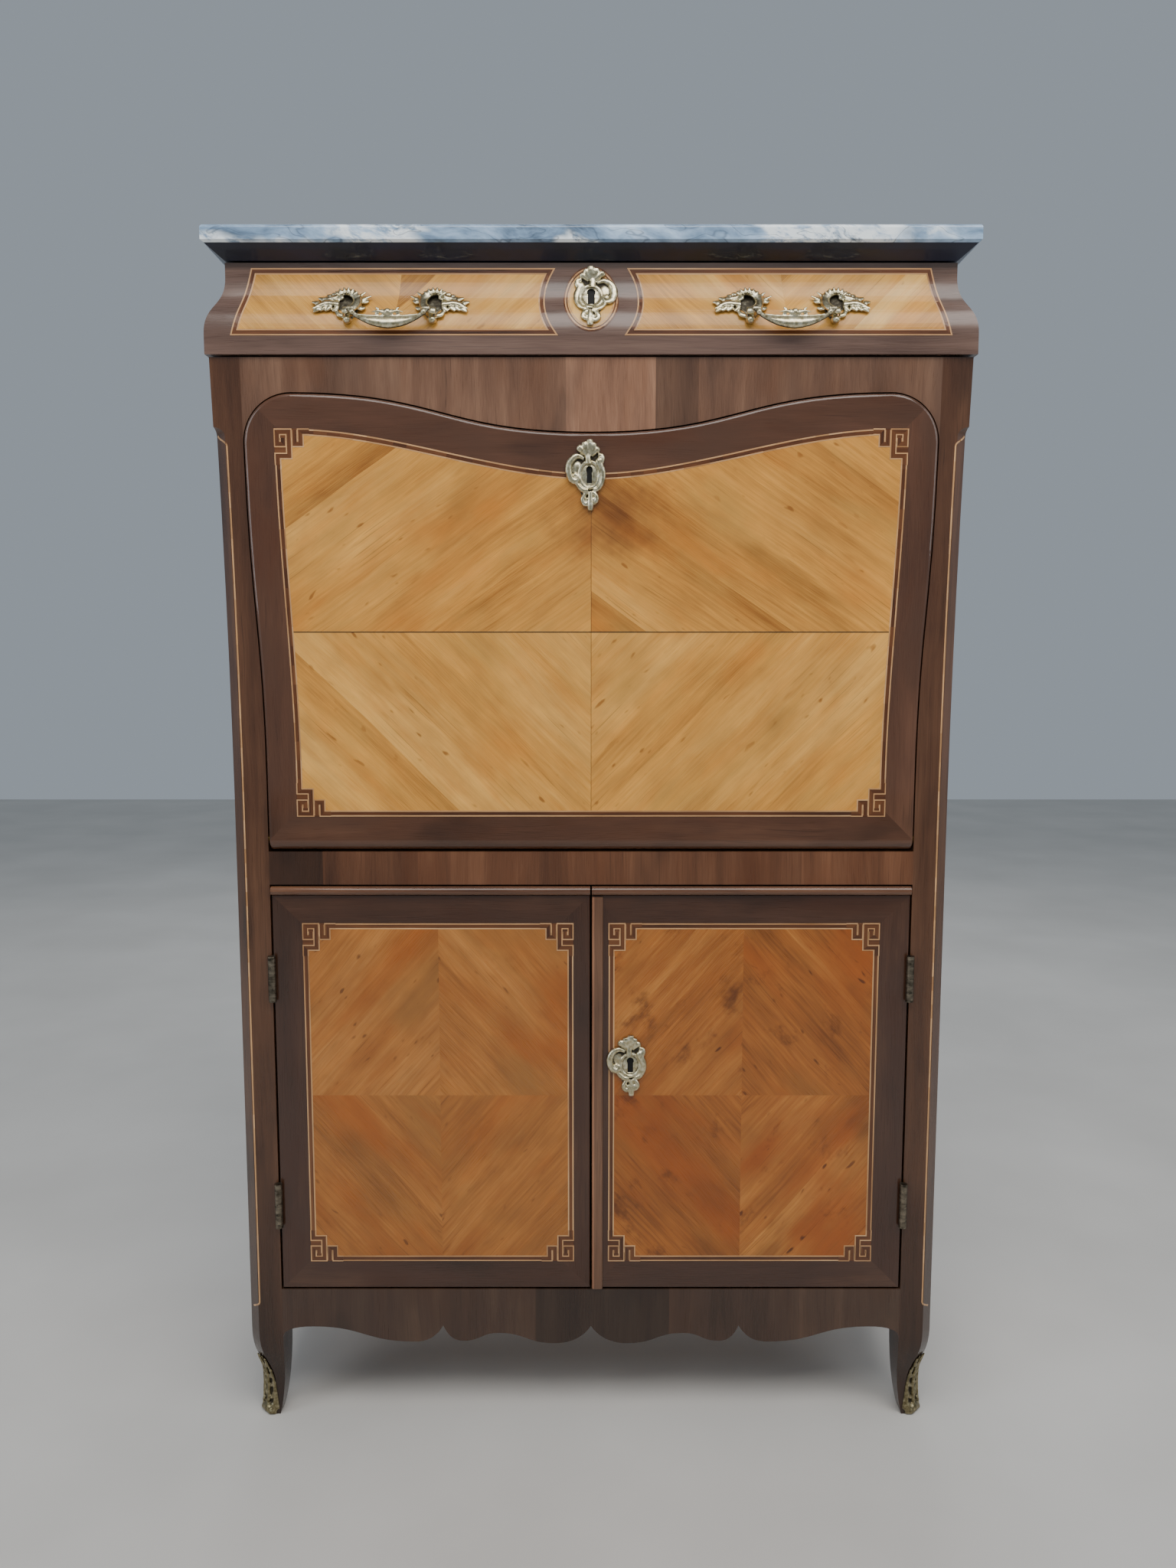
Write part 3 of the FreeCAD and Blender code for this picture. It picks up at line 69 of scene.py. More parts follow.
def operator(operation):
    """A method that adds a Math node with one other value."""
    def apply(self, other):
        return self.math(operation, other)
    return apply


class Shade:
    """One socket of a finish. Operators on it add Math nodes, and node() adds any other node."""

    def __init__(self, tree, socket=None):
        self.tree = tree
        self.socket = socket

    def node(self, kind, settings, values, out=0):
        """Adds a node: its settings first, then a value or a link for each named socket."""
        made = self.tree.nodes.new("ShaderNode" + kind)
        for name, setting in settings.items():
            if name == "stops":
                ramp = made.color_ramp
                for place, colour in setting[1:-1]:
                    ramp.elements.new(place).color = colour
                for element, (place, colour) in zip((ramp.elements[0], ramp.elements[-1]),
                                                    (setting[0], setting[-1])):
                    element.position = place
                    element.color = colour
            elif name == "interpolation":
                made.color_ramp.interpolation = setting
            else:
                setattr(made, name, setting)
        for key, value in values.items():
            if isinstance(value, Shade):
                self.tree.links.new(value.socket, made.inputs[key])
            else:
                made.inputs[key].default_value = value
        return Shade(self.tree, made.outputs[out])

    def math(self, operation, *others):
        parts = dict(enumerate((self, *others)))
        return self.node("Math", {"operation": operation}, parts)

    __add__ = __radd__ = operator("ADD")
    __mul__ = __rmul__ = operator("MULTIPLY")
    __sub__ = operator("SUBTRACT")
    below = operator("LESS_THAN")
    least = operator("MINIMUM")
    most = operator("MAXIMUM")

    def __rsub__(self, other):
        return self.node("Math", {"operation": "SUBTRACT"}, {0: other, 1: self})

    def __abs__(self):
        return self.math("ABSOLUTE")

    def centred(self):
        """Noise moved so that its middle is at zero."""
        return self - NOISE_MIDDLE

    def step(self, low, high):
        """Zero under low, one over high and a soft rise between them."""
        return self.node("MapRange", {"interpolation_type": "SMOOTHSTEP"},
                         {"Value": self, "From Min": low, "From Max": high})

    def blend(self, under, over):
        """The colour under where this is zero, and the colour over where it is one."""
        return self.node("Mix", {"data_type": "RGBA"}, {0: self, 6: under, 7: over}, out=2)

    def choose(self, first, second):
        """The first vector where this is zero and the second where it is one."""
        return self.node("Mix", {"data_type": "VECTOR"}, {0: self, 4: first, 5: second}, out=1)

    def ramp(self, *stops, interpolation="LINEAR"):
        return self.node("ValToRGB", {"stops": stops, "interpolation": interpolation}, {0: self})

    def chance(self):
        """A number of its own for each whole number."""
        return self.node("TexWhiteNoise", {"noise_dimensions": "1D"}, {"W": self})

    def parts(self):
        """The three numbers of a vector."""
        return [self.node("SeparateXYZ", {}, {0: self}, out=axis) for axis in range(3)]

    def joined(self, x, y, z):
        return self.node("CombineXYZ", {}, {0: x, 1: y, 2: z})

    def stretched(self, *scales):
        return self.node("VectorMath", {"operation": "MULTIPLY"}, {0: self, 1: scales})

    def moved(self, other):
        return self.node("VectorMath", {"operation": "ADD"}, {0: self, 1: other})

    def noise(self, along, across=None, depth=None, detail=2, roughness=0.5, out=0):
        """Noise with so many waves to the metre along a grain, across it and into it."""
        across = across or along
        spread = self.stretched(along, across, depth or across)
        return spread.node("TexNoise", {}, {"Vector": spread, "Scale": 1, "Detail": detail,
                                            "Roughness": roughness}, out=out)


class Finish:
    """A material on the Principled shader."""

    def __init__(self, name, **constants):
        self.material = bpy.data.materials.new(name)
        self.material.use_nodes = True
        self.tree = self.material.node_tree
        self.shader = self.tree.nodes["Principled BSDF"]
        self.start = Shade(self.tree)
        for socket, value in constants.items():
            self.shader.inputs[socket.replace("_", " ")].default_value = value

    def place(self):
        """Where a point is on its own piece, in metres."""
        return self.start.node("TexCoord", {}, {}, out="Object")

    def kept(self, name, out="Fac"):
        """What the mesh keeps for its finish: the grain and the tone of each sheet of veneer, or the
        relief of a casting."""
        return self.start.node("Attribute", {"attribute_name": name}, {}, out=out)

    def solid_grain(self, order):
        """Along the grain and across it for a solid piece; order names the axes."""
        parts = dict(zip("xyz", self.place().parts()))
        return self.start.joined(*[parts[axis] for axis in order])

    def feed(self, **values):
        for socket, value in values.items():
            self.tree.links.new(value.socket, self.shader.inputs[socket.replace("_", " ")])
        return self

    def tint(self, tone):
        """Multiplies the colour that is already there."""
        under = Shade(self.tree, self.shader.inputs["Base Color"].links[0].from_socket)
        return self.feed(Base_Color=under.node("Mix", {"data_type": "RGBA", "blend_type": "MULTIPLY"},
                                               {0: 1.0, 6: under, 7: tone}, out=2))

    def bump(self, height, distance, strength_share):
        relief = self.start.node("Bump", {}, {"Height": height, "Distance": distance,
                                              "Strength": strength_share})
        return self.feed(Normal=relief)


# Waves to the metre of what gives wood its tone: along the grain, across it and into it.
SWAY_RATES = (5, 14, 14)
CLOUD_RATES = (4.5, 11, 11)
PORE_RATES = (34, 1500, 700)
HATCH_RATES = (14, 330, 330)
BAND_RATE = 2.6
BAND_ROUGHNESS = 0.62
SWAY_REACH = 14 * MM
# What each of them adds to the tone, to the roughness and to the relief.
BAND_SHARE = 0.95
CLOUD_SHARE = 0.75
PORE_SHARE = 0.22
HATCH_SHARE = 0.3
MIDDLE_TONE = 0.5
TONE_STOPS = (0.16, 0.5, 0.84)
CLOUD_ROUGH_SHARE = 0.16
PORE_ROUGH_SHARE = 0.12
PORE_RELIEF_SHARE = 0.4
BAND_RELIEF_SHARE = 0.6
GRAIN_RELIEF = 0.2 * MM
GRAIN_RELIEF_SHARE = 0.25
# Strips of veneer to the metre, how they lean and sway, and the level about which their tones jump.
STRIP_RATE = 11
STRIP_LEAN = 0.37
STRIP_SWAY = 0.12
STRIP_LEVEL = 0.3
# Marks on wood: waves to the metre, the detail and the roughness of the noise, and the two levels of it
# between which a mark comes up.
MARKS = {
    "cool": ((7, 17, 17), (3, 0.5), (0.5, 0.74)),
    "warm": ((5, 13, 13), (3, 0.5), (0.52, 0.74)),
    "stain": ((7, 16, 16), (3, 0.5), (0.56, 0.78)),
    "knot": ((46, 120, 120), (1, 0.5), (0.68, 0.78)),
    "trail": ((16, 90, 90), (2, 0.5), (0.62, 0.8)),
    "burr": ((19, 27, 27), (5, 0.66), (0.56, 0.76)),
    "split": ((9, 620, 300), (1, 0.5), (0.66, 0.7)),
}
# Levels of the clouds between which knots and splits come up.
KNOT_CLOUD = (0.4, 0.56)
SPLIT_CLOUD = (0.42, 0.6)
TRAIL_SHARE = 0.5
# How many times finer each layer of mottling is, and how strong.
MOTTLE_SHARES = ((1, 1), (3, 0.35))
WARM_OFFSET = (3.1, 1.7, 0)
# How a cool patch, a warm one or a shadow shifts the red, green and blue.
COOL_SHARES = (0.8, 0.88, 0.98, 1)
WARM_SHARES = (0.86, 0.66, 0.44, 1)
SHADOW_SHARES = (0.36, 0.36, 0.36, 1)


def mark(grain, kind, fine=1):
    """Marks of one kind; fine makes them so many times smaller."""
    (along, across, depth), (detail, roughness), levels = MARKS[kind]
    return grain.noise(along * fine, across * fine, depth, detail, roughness).step(*levels)


def wood(finish, grain, deep, middle, pale, band=70, contrast=1, patch=0.5, splits=0.35, gloss=0.3,
         strips=0, knots=0, mottle=0, burr=0, shift=None):
    """Growth bands, clouds, pores, strips, dark patches, knots and fine splits, all along the grain."""
    sway = grain.noise(*SWAY_RATES, detail=1).centred()
    along, across, depth = grain.parts()
    swayed = grain.joined(along, across + sway * SWAY_REACH, depth)
    bands = swayed.noise(BAND_RATE, band, band, detail=4, roughness=BAND_ROUGHNESS)
    cloud = grain.noise(*CLOUD_RATES)
    pores = swayed.noise(*PORE_RATES, detail=1)
    tone = bands.centred() * (BAND_SHARE * contrast) + cloud.centred() * (CLOUD_SHARE * contrast)
    tone = tone + pores.centred() * PORE_SHARE + MIDDLE_TONE
    if shift:
        tone = tone + shift + swayed.noise(*HATCH_RATES, detail=1).centred() * HATCH_SHARE
    if strips:
        leaf = (across + depth * STRIP_LEAN) * STRIP_RATE + sway * STRIP_SWAY
        jump = leaf.math("FLOOR").chance() - STRIP_LEVEL
        tone = tone + leaf.math("FRACT").centred() * jump * strips
    colour = tone.ramp(*zip(TONE_STOPS, (deep, middle, pale)))
    shadow = shaded(deep, SHADOW_SHARES)
    if mottle:
        for fine, share in MOTTLE_SHARES:
            cool = mark(grain, "cool", fine) * (mottle * share)
            warm = mark(grain.moved(WARM_OFFSET), "warm", fine) * (mottle * share)
            colour = cool.blend(colour, shaded(middle, COOL_SHARES))
            colour = warm.blend(colour, shaded(middle, WARM_SHARES))
    colour = (mark(swayed, "stain") * patch).blend(colour, shadow)
    if knots:
        spots = mark(swayed, "knot").most(mark(swayed, "trail") * TRAIL_SHARE)
        colour = (spots * cloud.step(*KNOT_CLOUD) * knots).blend(colour, deep)
    if burr:
        colour = (mark(grain, "burr") * burr).blend(colour, deep)
    split = mark(swayed, "split") * cloud.step(*SPLIT_CLOUD) * splits
    colour = split.blend(colour, shadow)
    rough = cloud.centred() * CLOUD_ROUGH_SHARE + pores.centred() * PORE_ROUGH_SHARE + gloss
    finish.feed(Base_Color=colour, Roughness=rough)
    relief = pores * PORE_RELIEF_SHARE + bands * BAND_RELIEF_SHARE - split
    return finish.bump(relief, GRAIN_RELIEF, GRAIN_RELIEF_SHARE)


# How the woods are polished.
POLISH = {"Coat_Weight": 0.35, "Coat_Roughness": 0.14, "Specular_IOR_Level": 0.4}
GLOSS = {"Coat_Weight": 0.8, "Coat_Roughness": 0.05, "Specular_IOR_Level": 0.25}
SATIN = {"Coat_Weight": 0.15, "Coat_Roughness": 0.2, "Specular_IOR_Level": 0.35}
WAXED = {"Specular_IOR_Level": 0.3}
# Colours of the woods: deep, middle and pale.
ROSEWOOD = paints((38, 24, 17), (68, 44, 32), (100, 69, 52))
RUSSET = paints((56, 38, 29), (100, 73, 57), (136, 104, 82))
BROWN = paints((58, 36, 24), (104, 67, 45), (140, 96, 68))
HONEY = paints((150, 94, 38), (213, 150, 70), (234, 177, 94))
AMBER = paints((102, 60, 26), (170, 108, 51), (202, 142, 78))
CHESTNUT = paints((84, 42, 14), (162, 97, 42), (200, 136, 68))
STRAW = paints((148, 100, 46), (208, 151, 72), (236, 190, 112))
OAK = paints((96, 66, 38), (146, 108, 68), (178, 140, 96))
POST_TONES = paints((48, 30, 20), (84, 56, 39), (116, 81, 58))
MOULDING_TONES = paints((58, 36, 25), (100, 67, 48), (132, 92, 66))
DRAWER_TONES = paints((56, 40, 34), (99, 77, 67), (132, 106, 93))
FALL_BORDER_TONES = paints((54, 35, 25), (88, 59, 43), (118, 82, 62))
STRIP_TONES = paints((56, 38, 29), (98, 69, 51), (132, 96, 72))
LIGHT_TONES = paints((150, 106, 66), (196, 150, 104), (218, 178, 134))
DARK_TONES = paints((52, 30, 18), (94, 56, 31), (120, 76, 44))


def solid_wood(name, order, tones, polish=POLISH, **look):
    """Wood whose grain follows a solid's axes; order names them, along the grain first."""
    finish = Finish(name, **polish)
    return wood(finish, finish.solid_grain(order), *tones, **look)


def shade_painted_wood(name, order, tones, heights, left_share, **look):
    """Dark wood with painted shade: darker by degrees from a lit height to a shaded one, where only a
    share of its colour is left."""
    lit_height, shade_height = heights
    finish = solid_wood(name, order, tones, **look)
    # Painted shade: the colour is multiplied down towards the shaded height.
    clear = (finish.place().parts()[2] - shade_height) * (1 / (lit_height - shade_height))
    return finish.tint(clear.ramp((0, grey(left_share)), (1, WHITE)))


# Width of the arris on the strip between the doors that is painted paler as a highlight, and how much
# paler it is.
HIGHLIGHT_ARRIS = 5.5 * MM
HIGHLIGHT_SHARES = (2.3, 2.15, 2.1, 1)
HIGHLIGHT_STOPS = (0.3, 0.6)


def edge_lit_strip(name, tones, arris):
    """An upright strip with a painted highlight along one arris."""
    finish = solid_wood(name, "zxy", tones, GLOSS)
    # The arris is tinted paler as a painted highlight.
    inward = finish.place().parts()[0] - arris
    return finish.tint(inward.step(0, HIGHLIGHT_ARRIS).ramp(*zip(HIGHLIGHT_STOPS, (HIGHLIGHT_SHARES, WHITE))))


# How age has darkened and bleached veneer, where it has done so most: waves to the metre of its streaks and
# clouds, what each of them counts for, and the colours at the two ends.
STREAK_RATES = (8, 55, 55)
AGE_CLOUD_RATE = 13
STREAK_SHARE = 0.55
AGE_CLOUD_SHARE = 0.45
AGE_STOPS = (0.34, 0.66)
DARKENED_SHARES = (0.77, 0.75, 0.76, 1)
BLEACHED_SHARES = (1.15, 1.14, 1.1, 1)


def veneer(name, tones, polish=POLISH, **look):
    """Veneer laid in sheets, darkened and bleached by age along its grain and in clouds."""
    finish = Finish(name, **polish)
    grain = finish.kept("grain", "Vector")
    wood(finish, grain, *tones, shift=finish.kept("tone"), **look)
    streaks = grain.noise(*STREAK_RATES, detail=4, roughness=0.65)
    clouds = finish.place().noise(AGE_CLOUD_RATE, detail=3, roughness=0.6)
    tone = streaks * STREAK_SHARE + clouds * AGE_CLOUD_SHARE
    return finish.tint(tone.ramp(*zip(AGE_STOPS, (DARKENED_SHARES, BLEACHED_SHARES))))


# The smudge that hands have left under the fall's keyhole: what moves its middle to zero, how it darkens
# the wood, how far it reaches, what draws it in upwards, and how ragged its edge is.
SMUDGE_SHIFT = (-22 * MM, 0, -1074 * MM)
SMUDGE_SHARES = (0.5, 0.43, 0.5, 1)
SMUDGE_REACH = 90 * MM
SMUDGE_STRETCH = (1, 0, 1.3)
SMUDGE_RATE = 34
SMUDGE_RAGGED = 90 * MM


def fall_veneer(name):
    """Honey-coloured veneer, smudged under the keyhole."""
    finish = veneer(name, HONEY, band=46, contrast=0.6, patch=0.35, strips=0.65, knots=0.9, mottle=0.8)
    place = finish.place()
    offset = place.moved(SMUDGE_SHIFT).stretched(*SMUDGE_STRETCH)
    away = offset.node("VectorMath", {"operation": "LENGTH"}, {0: offset}, out=1)
    ragged = away + place.noise(SMUDGE_RATE, detail=3, roughness=0.6).centred() * SMUDGE_RAGGED
    return finish.tint(ragged.step(0, SMUDGE_REACH).ramp((0, SMUDGE_SHARES), (1, WHITE)))


def oak(name, order):
    return solid_wood(name, order, OAK, WAXED, band=90, patch=0.25, gloss=0.5)


def border_veneer(name, tones, middle, half, low, high):
    """Dark border whose grain runs along the nearest edge of its panel."""
    finish = Finish(name, **GLOSS)
    x, y, z = finish.place().parts()
    to_side = half - abs(x - middle)
    to_end = (z - low).least(high - z)
    level = to_end.below(to_side)
    grain = level.choose(finish.start.joined(z, x, y), finish.start.joined(x, z, y))
    return wood(finish, grain, *tones, band=26, contrast=0.6, patch=0.4, splits=0.3, mottle=0.8)


# A ramp runs from zero to one, so the middle of a rail is put half way along it.
RAMP_MIDDLE = 0.5


def pieced_rail(name, tones, pieces):
    """A rail veneered with upright pieces: where each begins and how bright it is."""
    finish = solid_wood(name, "zxy", tones, band=45, contrast=0.7, patch=0.45, mottle=0.5)
    along = finish.place().parts()[0] + RAMP_MIDDLE
    stops = [(place + RAMP_MIDDLE, grey(tone)) for place, tone in pieces]
    return finish.tint(along.ramp(*stops, interpolation="CONSTANT"))


# Boards of the back to the metre, how far on the grain of each is taken, where the dark joint between two
# of them comes up, and how dark and pale a board and a joint are.
BOARD_RATE = 9.667
BOARD_STEP = 0.73
BOARD_JOINT = (0.486, 0.496)
BOARD_DARK_SHARES = (0.72, 0.7, 0.68, 1)
BOARD_PALE_SHARES = (1.15, 1.12, 1.1, 1)
BOARD_JOINT_SHARES = (0.12, 0.1, 0.08, 1)


def boarded_oak(name):
    """Upright boards side by side, one of them on the middle, each with its own tone and grain."""
    finish = Finish(name, **WAXED)
    x, y, z = finish.place().parts()
    board = x * BOARD_RATE + 1 / 2
    number = board.math("FLOOR")
    grain = finish.start.joined(z, x, y + number * BOARD_STEP)
    wood(finish, grain, *OAK, contrast=0.8, patch=0.3, gloss=0.55)
    joint = abs(board.math("FRACT").centred()).step(*BOARD_JOINT)
    tone = (number.chance() * (1 - joint)).ramp((0, BOARD_DARK_SHARES), (1, BOARD_PALE_SHARES))
    return finish.tint(tone).tint(joint.ramp((0, WHITE), (1, BOARD_JOINT_SHARES)))


# Marble: how far its figure is bent and how it slants, the foot of its polished edge, under which it is
# painted dark as shade, and its colours.
MARBLE_BEND = (60 * MM, 60 * MM, 60 * MM)
MARBLE_SLANT = (0.9, 0.6)
MARBLE_SHADE_EDGE = (1361.2 * MM, 1362 * MM)
MARBLE_STOPS = (0.3, 0.46, 0.6, 0.74)
MARBLE_TONES = paints((66, 82, 100), (126, 152, 180), (168, 194, 222), (212, 234, 252))
CLOUD_WHITE = paint(244, 252, 255)
VEIN_BLUE = paint(70, 84, 100)
VEIN_LEVEL = 0.52
VEIN_WIDE = 0.014
VEIN_SHARE = 0.5
UNDER_SHADE_TONES = paints((6, 12, 25), (14, 26, 54))
MARBLE_RELIEF = 0.1 * MM
MARBLE_RELIEF_SHARE = 0.1


def marble():
    """Blue-grey stone with white clouds; under its edge it is unpolished and painted dark as shade."""
    finish = Finish("grey_marble", Specular_IOR_Level=0.5, Coat_Weight=0.3, Coat_Roughness=0.06)
    place = finish.place()
    x, y, z = place.moved(place.noise(9, detail=3, out=1).stretched(*MARBLE_BEND)).parts()
    slanted = finish.start.joined(x + z * MARBLE_SLANT[0], y + z * MARBLE_SLANT[1], z)
    cloud = slanted.noise(14, 14, 30, detail=5, roughness=0.62)
    colour = cloud.ramp(*zip(MARBLE_STOPS, MARBLE_TONES))
    patch = slanted.noise(8, 9, 12, detail=3, roughness=0.55).step(0.49, 0.57)
    patch = patch * slanted.noise(60, 60, 90, detail=4, roughness=0.65).step(0.34, 0.56)
    colour = patch.blend(colour, CLOUD_WHITE)
    vein = 1 - abs(slanted.noise(17, 17, 40) - VEIN_LEVEL).step(0, VEIN_WIDE)
    colour = (vein * VEIN_SHARE).blend(colour, VEIN_BLUE)
    # Under the edge, the stone's colour gives way to painted shade.
    under = 1 - place.parts()[2].step(*MARBLE_SHADE_EDGE)
    colour = under.blend(colour, cloud.ramp((0.3, UNDER_SHADE_TONES[0]), (0.7, UNDER_SHADE_TONES[1])))
    finish.feed(Base_Color=colour, Roughness=cloud * 0.12 + 0.16 + under * 0.25)
    return finish.bump(cloud, MARBLE_RELIEF, MARBLE_RELIEF_SHARE)


# Depth and strength of the relief of bronze, of plain metal and of leather.
BRONZE_RELIEF = (0.3 * MM, 0.4)
METAL_RELIEF = (0.15 * MM, 0.2)
LEATHER_RELIEF = (0.12 * MM, 0.5)
GRIME = paint(48, 41, 27)


def bronze(name, *tones):
    """Old gilding: bright on the high places and dark in the hollows."""
    finish = Finish(name)
    rub = finish.place().noise(260, detail=3, roughness=0.6)
    grime = 1 - (finish.kept("relief") + rub.centred() * 0.35).step(0.2, 0.66)
    gilt = rub.ramp(*zip((0.3, 0.55, 0.75), paints(*tones)))
    finish.feed(Base_Color=grime.blend(gilt, GRIME), Metallic=1 - grime * 0.7,
                Roughness=0.3 + grime * 0.35 + rub.centred() * 0.12)
    return finish.bump(rub, *BRONZE_RELIEF)


def worn_metal(name, dull, bright, rough):
    """Metal that is rubbed bright, with dull spots."""
    finish = Finish(name)
    place = finish.place()
    rub = place.noise(90, 90, 240, detail=4, roughness=0.62)
    spots = place.noise(420).step(0.6, 0.75)
    colour = (rub - spots * 0.3).ramp((0.3, paint(*dull)), (0.65, paint(*bright)))
    finish.feed(Base_Color=colour, Metallic=1 - spots * 0.5,
                Roughness=rough + spots * 0.2 + rub.centred() * 0.2)
    return finish.bump(rub, *METAL_RELIEF)


def leather():
    """Brown hide with fine creases, scuffed pale."""
    finish = Finish("writing_leather", Specular_IOR_Level=0.4)
    place = finish.place()
    cells = finish.start.node("TexVoronoi", {"feature": "DISTANCE_TO_EDGE"},
                              {"Vector": place, "Scale": 620})
    rub = place.noise(9, detail=4, roughness=0.6)
    scuff = place.noise(60, 60, 160, detail=4, roughness=0.7).step(0.58, 0.76)
    colour = rub.ramp(*zip((0.3, 0.55, 0.75), paints((58, 27, 17), (96, 47, 27), (122, 66, 38))))
    colour = (scuff * 0.35).blend(colour, paint(150, 96, 62))
    finish.feed(Base_Color=colour, Roughness=0.62 - rub * 0.2)
    return finish.bump(cells.step(0, 0.25), *LEATHER_RELIEF)


def dusty(name, rate, detail, tones, rough, **look):
    """A plain finish between two tones; rough gives what its noise adds to the roughness, and the rest."""
    finish = Finish(name, **look)
    dust = finish.place().noise(rate, detail=detail)
    stops, colours = zip(*tones)
    return finish.feed(Base_Color=dust.ramp(*zip(stops, paints(*colours))),
                       Roughness=dust * rough[0] + rough[1])


# Faces that veneers and mounts are laid on, found on the solids themselves.
class Seat:
    """A face of a solid. across and up run over it, and out points away from it."""

    def __init__(self, node_names, across, out):
        parts = bmesh.new()
        for name in node_names:
            parts.from_mesh(nodes[name].data)
        self.tree = BVHTree.FromBMesh(parts)
        parts.free()
        self.across = Vector(across)
        self.out = Vector(out)

    def at(self, u, v, lift):
        """The point at u across and v up, lifted off the face."""
        start = self.across * u + Vector((0, 0, v)) + self.out
        hit = self.tree.ray_cast(start, -self.out)[0]
        if hit is None:
            hit = self.tree.find_nearest(start - self.out)[0]
        return hit + self.out * lift


FRONT = (0, -1, 0)
BACK = (0, 1, 0)
RIGHT = (1, 0, 0)


def front_seat(*names):
    return Seat(names, RIGHT, FRONT)


def inner_seat(*names):
    """The face that looks to the back."""
    return Seat(names, RIGHT, BACK)


def side_seat(way, *names):
    """The face that looks to the left where way is below zero, or else to the right."""
    return Seat(names, BACK, (way, 0, 0))


def linked(name, data):
    """A new object in the scene."""
    made = bpy.data.objects.new(name, data)
    bpy.context.scene.collection.objects.link(made)
    return made


def made_piece(name, shape, finishes, body):
    """A visible piece with the given shape, riding on a body."""
    mesh = bpy.data.meshes.new(name)
    shape.to_mesh(mesh)
    shape.free()
    for finish in finishes:
        mesh.materials.append(finish.material)
    piece = linked(name, mesh)
    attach(piece, body)
    return piece


def rectangle(left, low, right, high, inset=0):
    """Corners of an upright rectangle, drawn in by an inset."""
    return [(left + inset, low + inset), (right - inset, low + inset),
            (right - inset, high - inset), (left + inset, high - inset)]


def framed(node, inset):
    """Corners of a rectangle that stands inside the edges of a node, seen from the front."""
    low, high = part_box(node)
    return rectangle(low.x, low.z, high.x, high.z, inset)


def steps(low, high, count):
    return [low + (high - low) * index / count for index in range(count + 1)]


def ray(turn):
    """A direction, by degrees from the level."""
    return Vector((math.cos(math.radians(turn)), math.sin(math.radians(turn))))


def beside(way):
    """The direction to the left of another."""
    return Vector((-way.y, way.x))


def ellipse(half, turns):
    return [(half[0] * math.cos(turn), half[1] * math.sin(turn)) for turn in turns]


def skin(shape, rings):
    """Faces between closed rings, and one that closes the last ring."""
    for ring, after in zip(rings, rings[1:]):
        for corner in range(len(ring)):
            shape.faces.new((ring[corner - 1], ring[corner], after[corner], after[corner - 1]))
    shape.faces.new(rings[-1])


def eased(share):
    """An S from zero to one, level at both ends."""
    return share * share * (3 - 2 * share)


# Sheets of veneer: their thickness and lift, and how far apart they are cut to follow a face.
SHEET_THICK = 0.45 * MM
SHEET_LIFT = 0.2 * MM
SHEET_LEVEL = 10 * MM
OGEE_LEVEL = 2.5 * MM
# How far each sheet's grain is moved on from the last one's, across it and into it.
GRAIN_STEPS = (1.7, 3.1)
UPRIGHT_TURN = 90
MITRE_LEAST_SHARE = 0.3
STRING_WIDE = 6.8 * MM
STRING_CORE = 3.8 * MM
STRING_LIFTS = (0.3 * MM, 0.36 * MM)
INSET = STRING_WIDE / 2
# Places of the woods in the finishes of a piece.
MAIN, LIGHT, DARK, GAP = range(4)


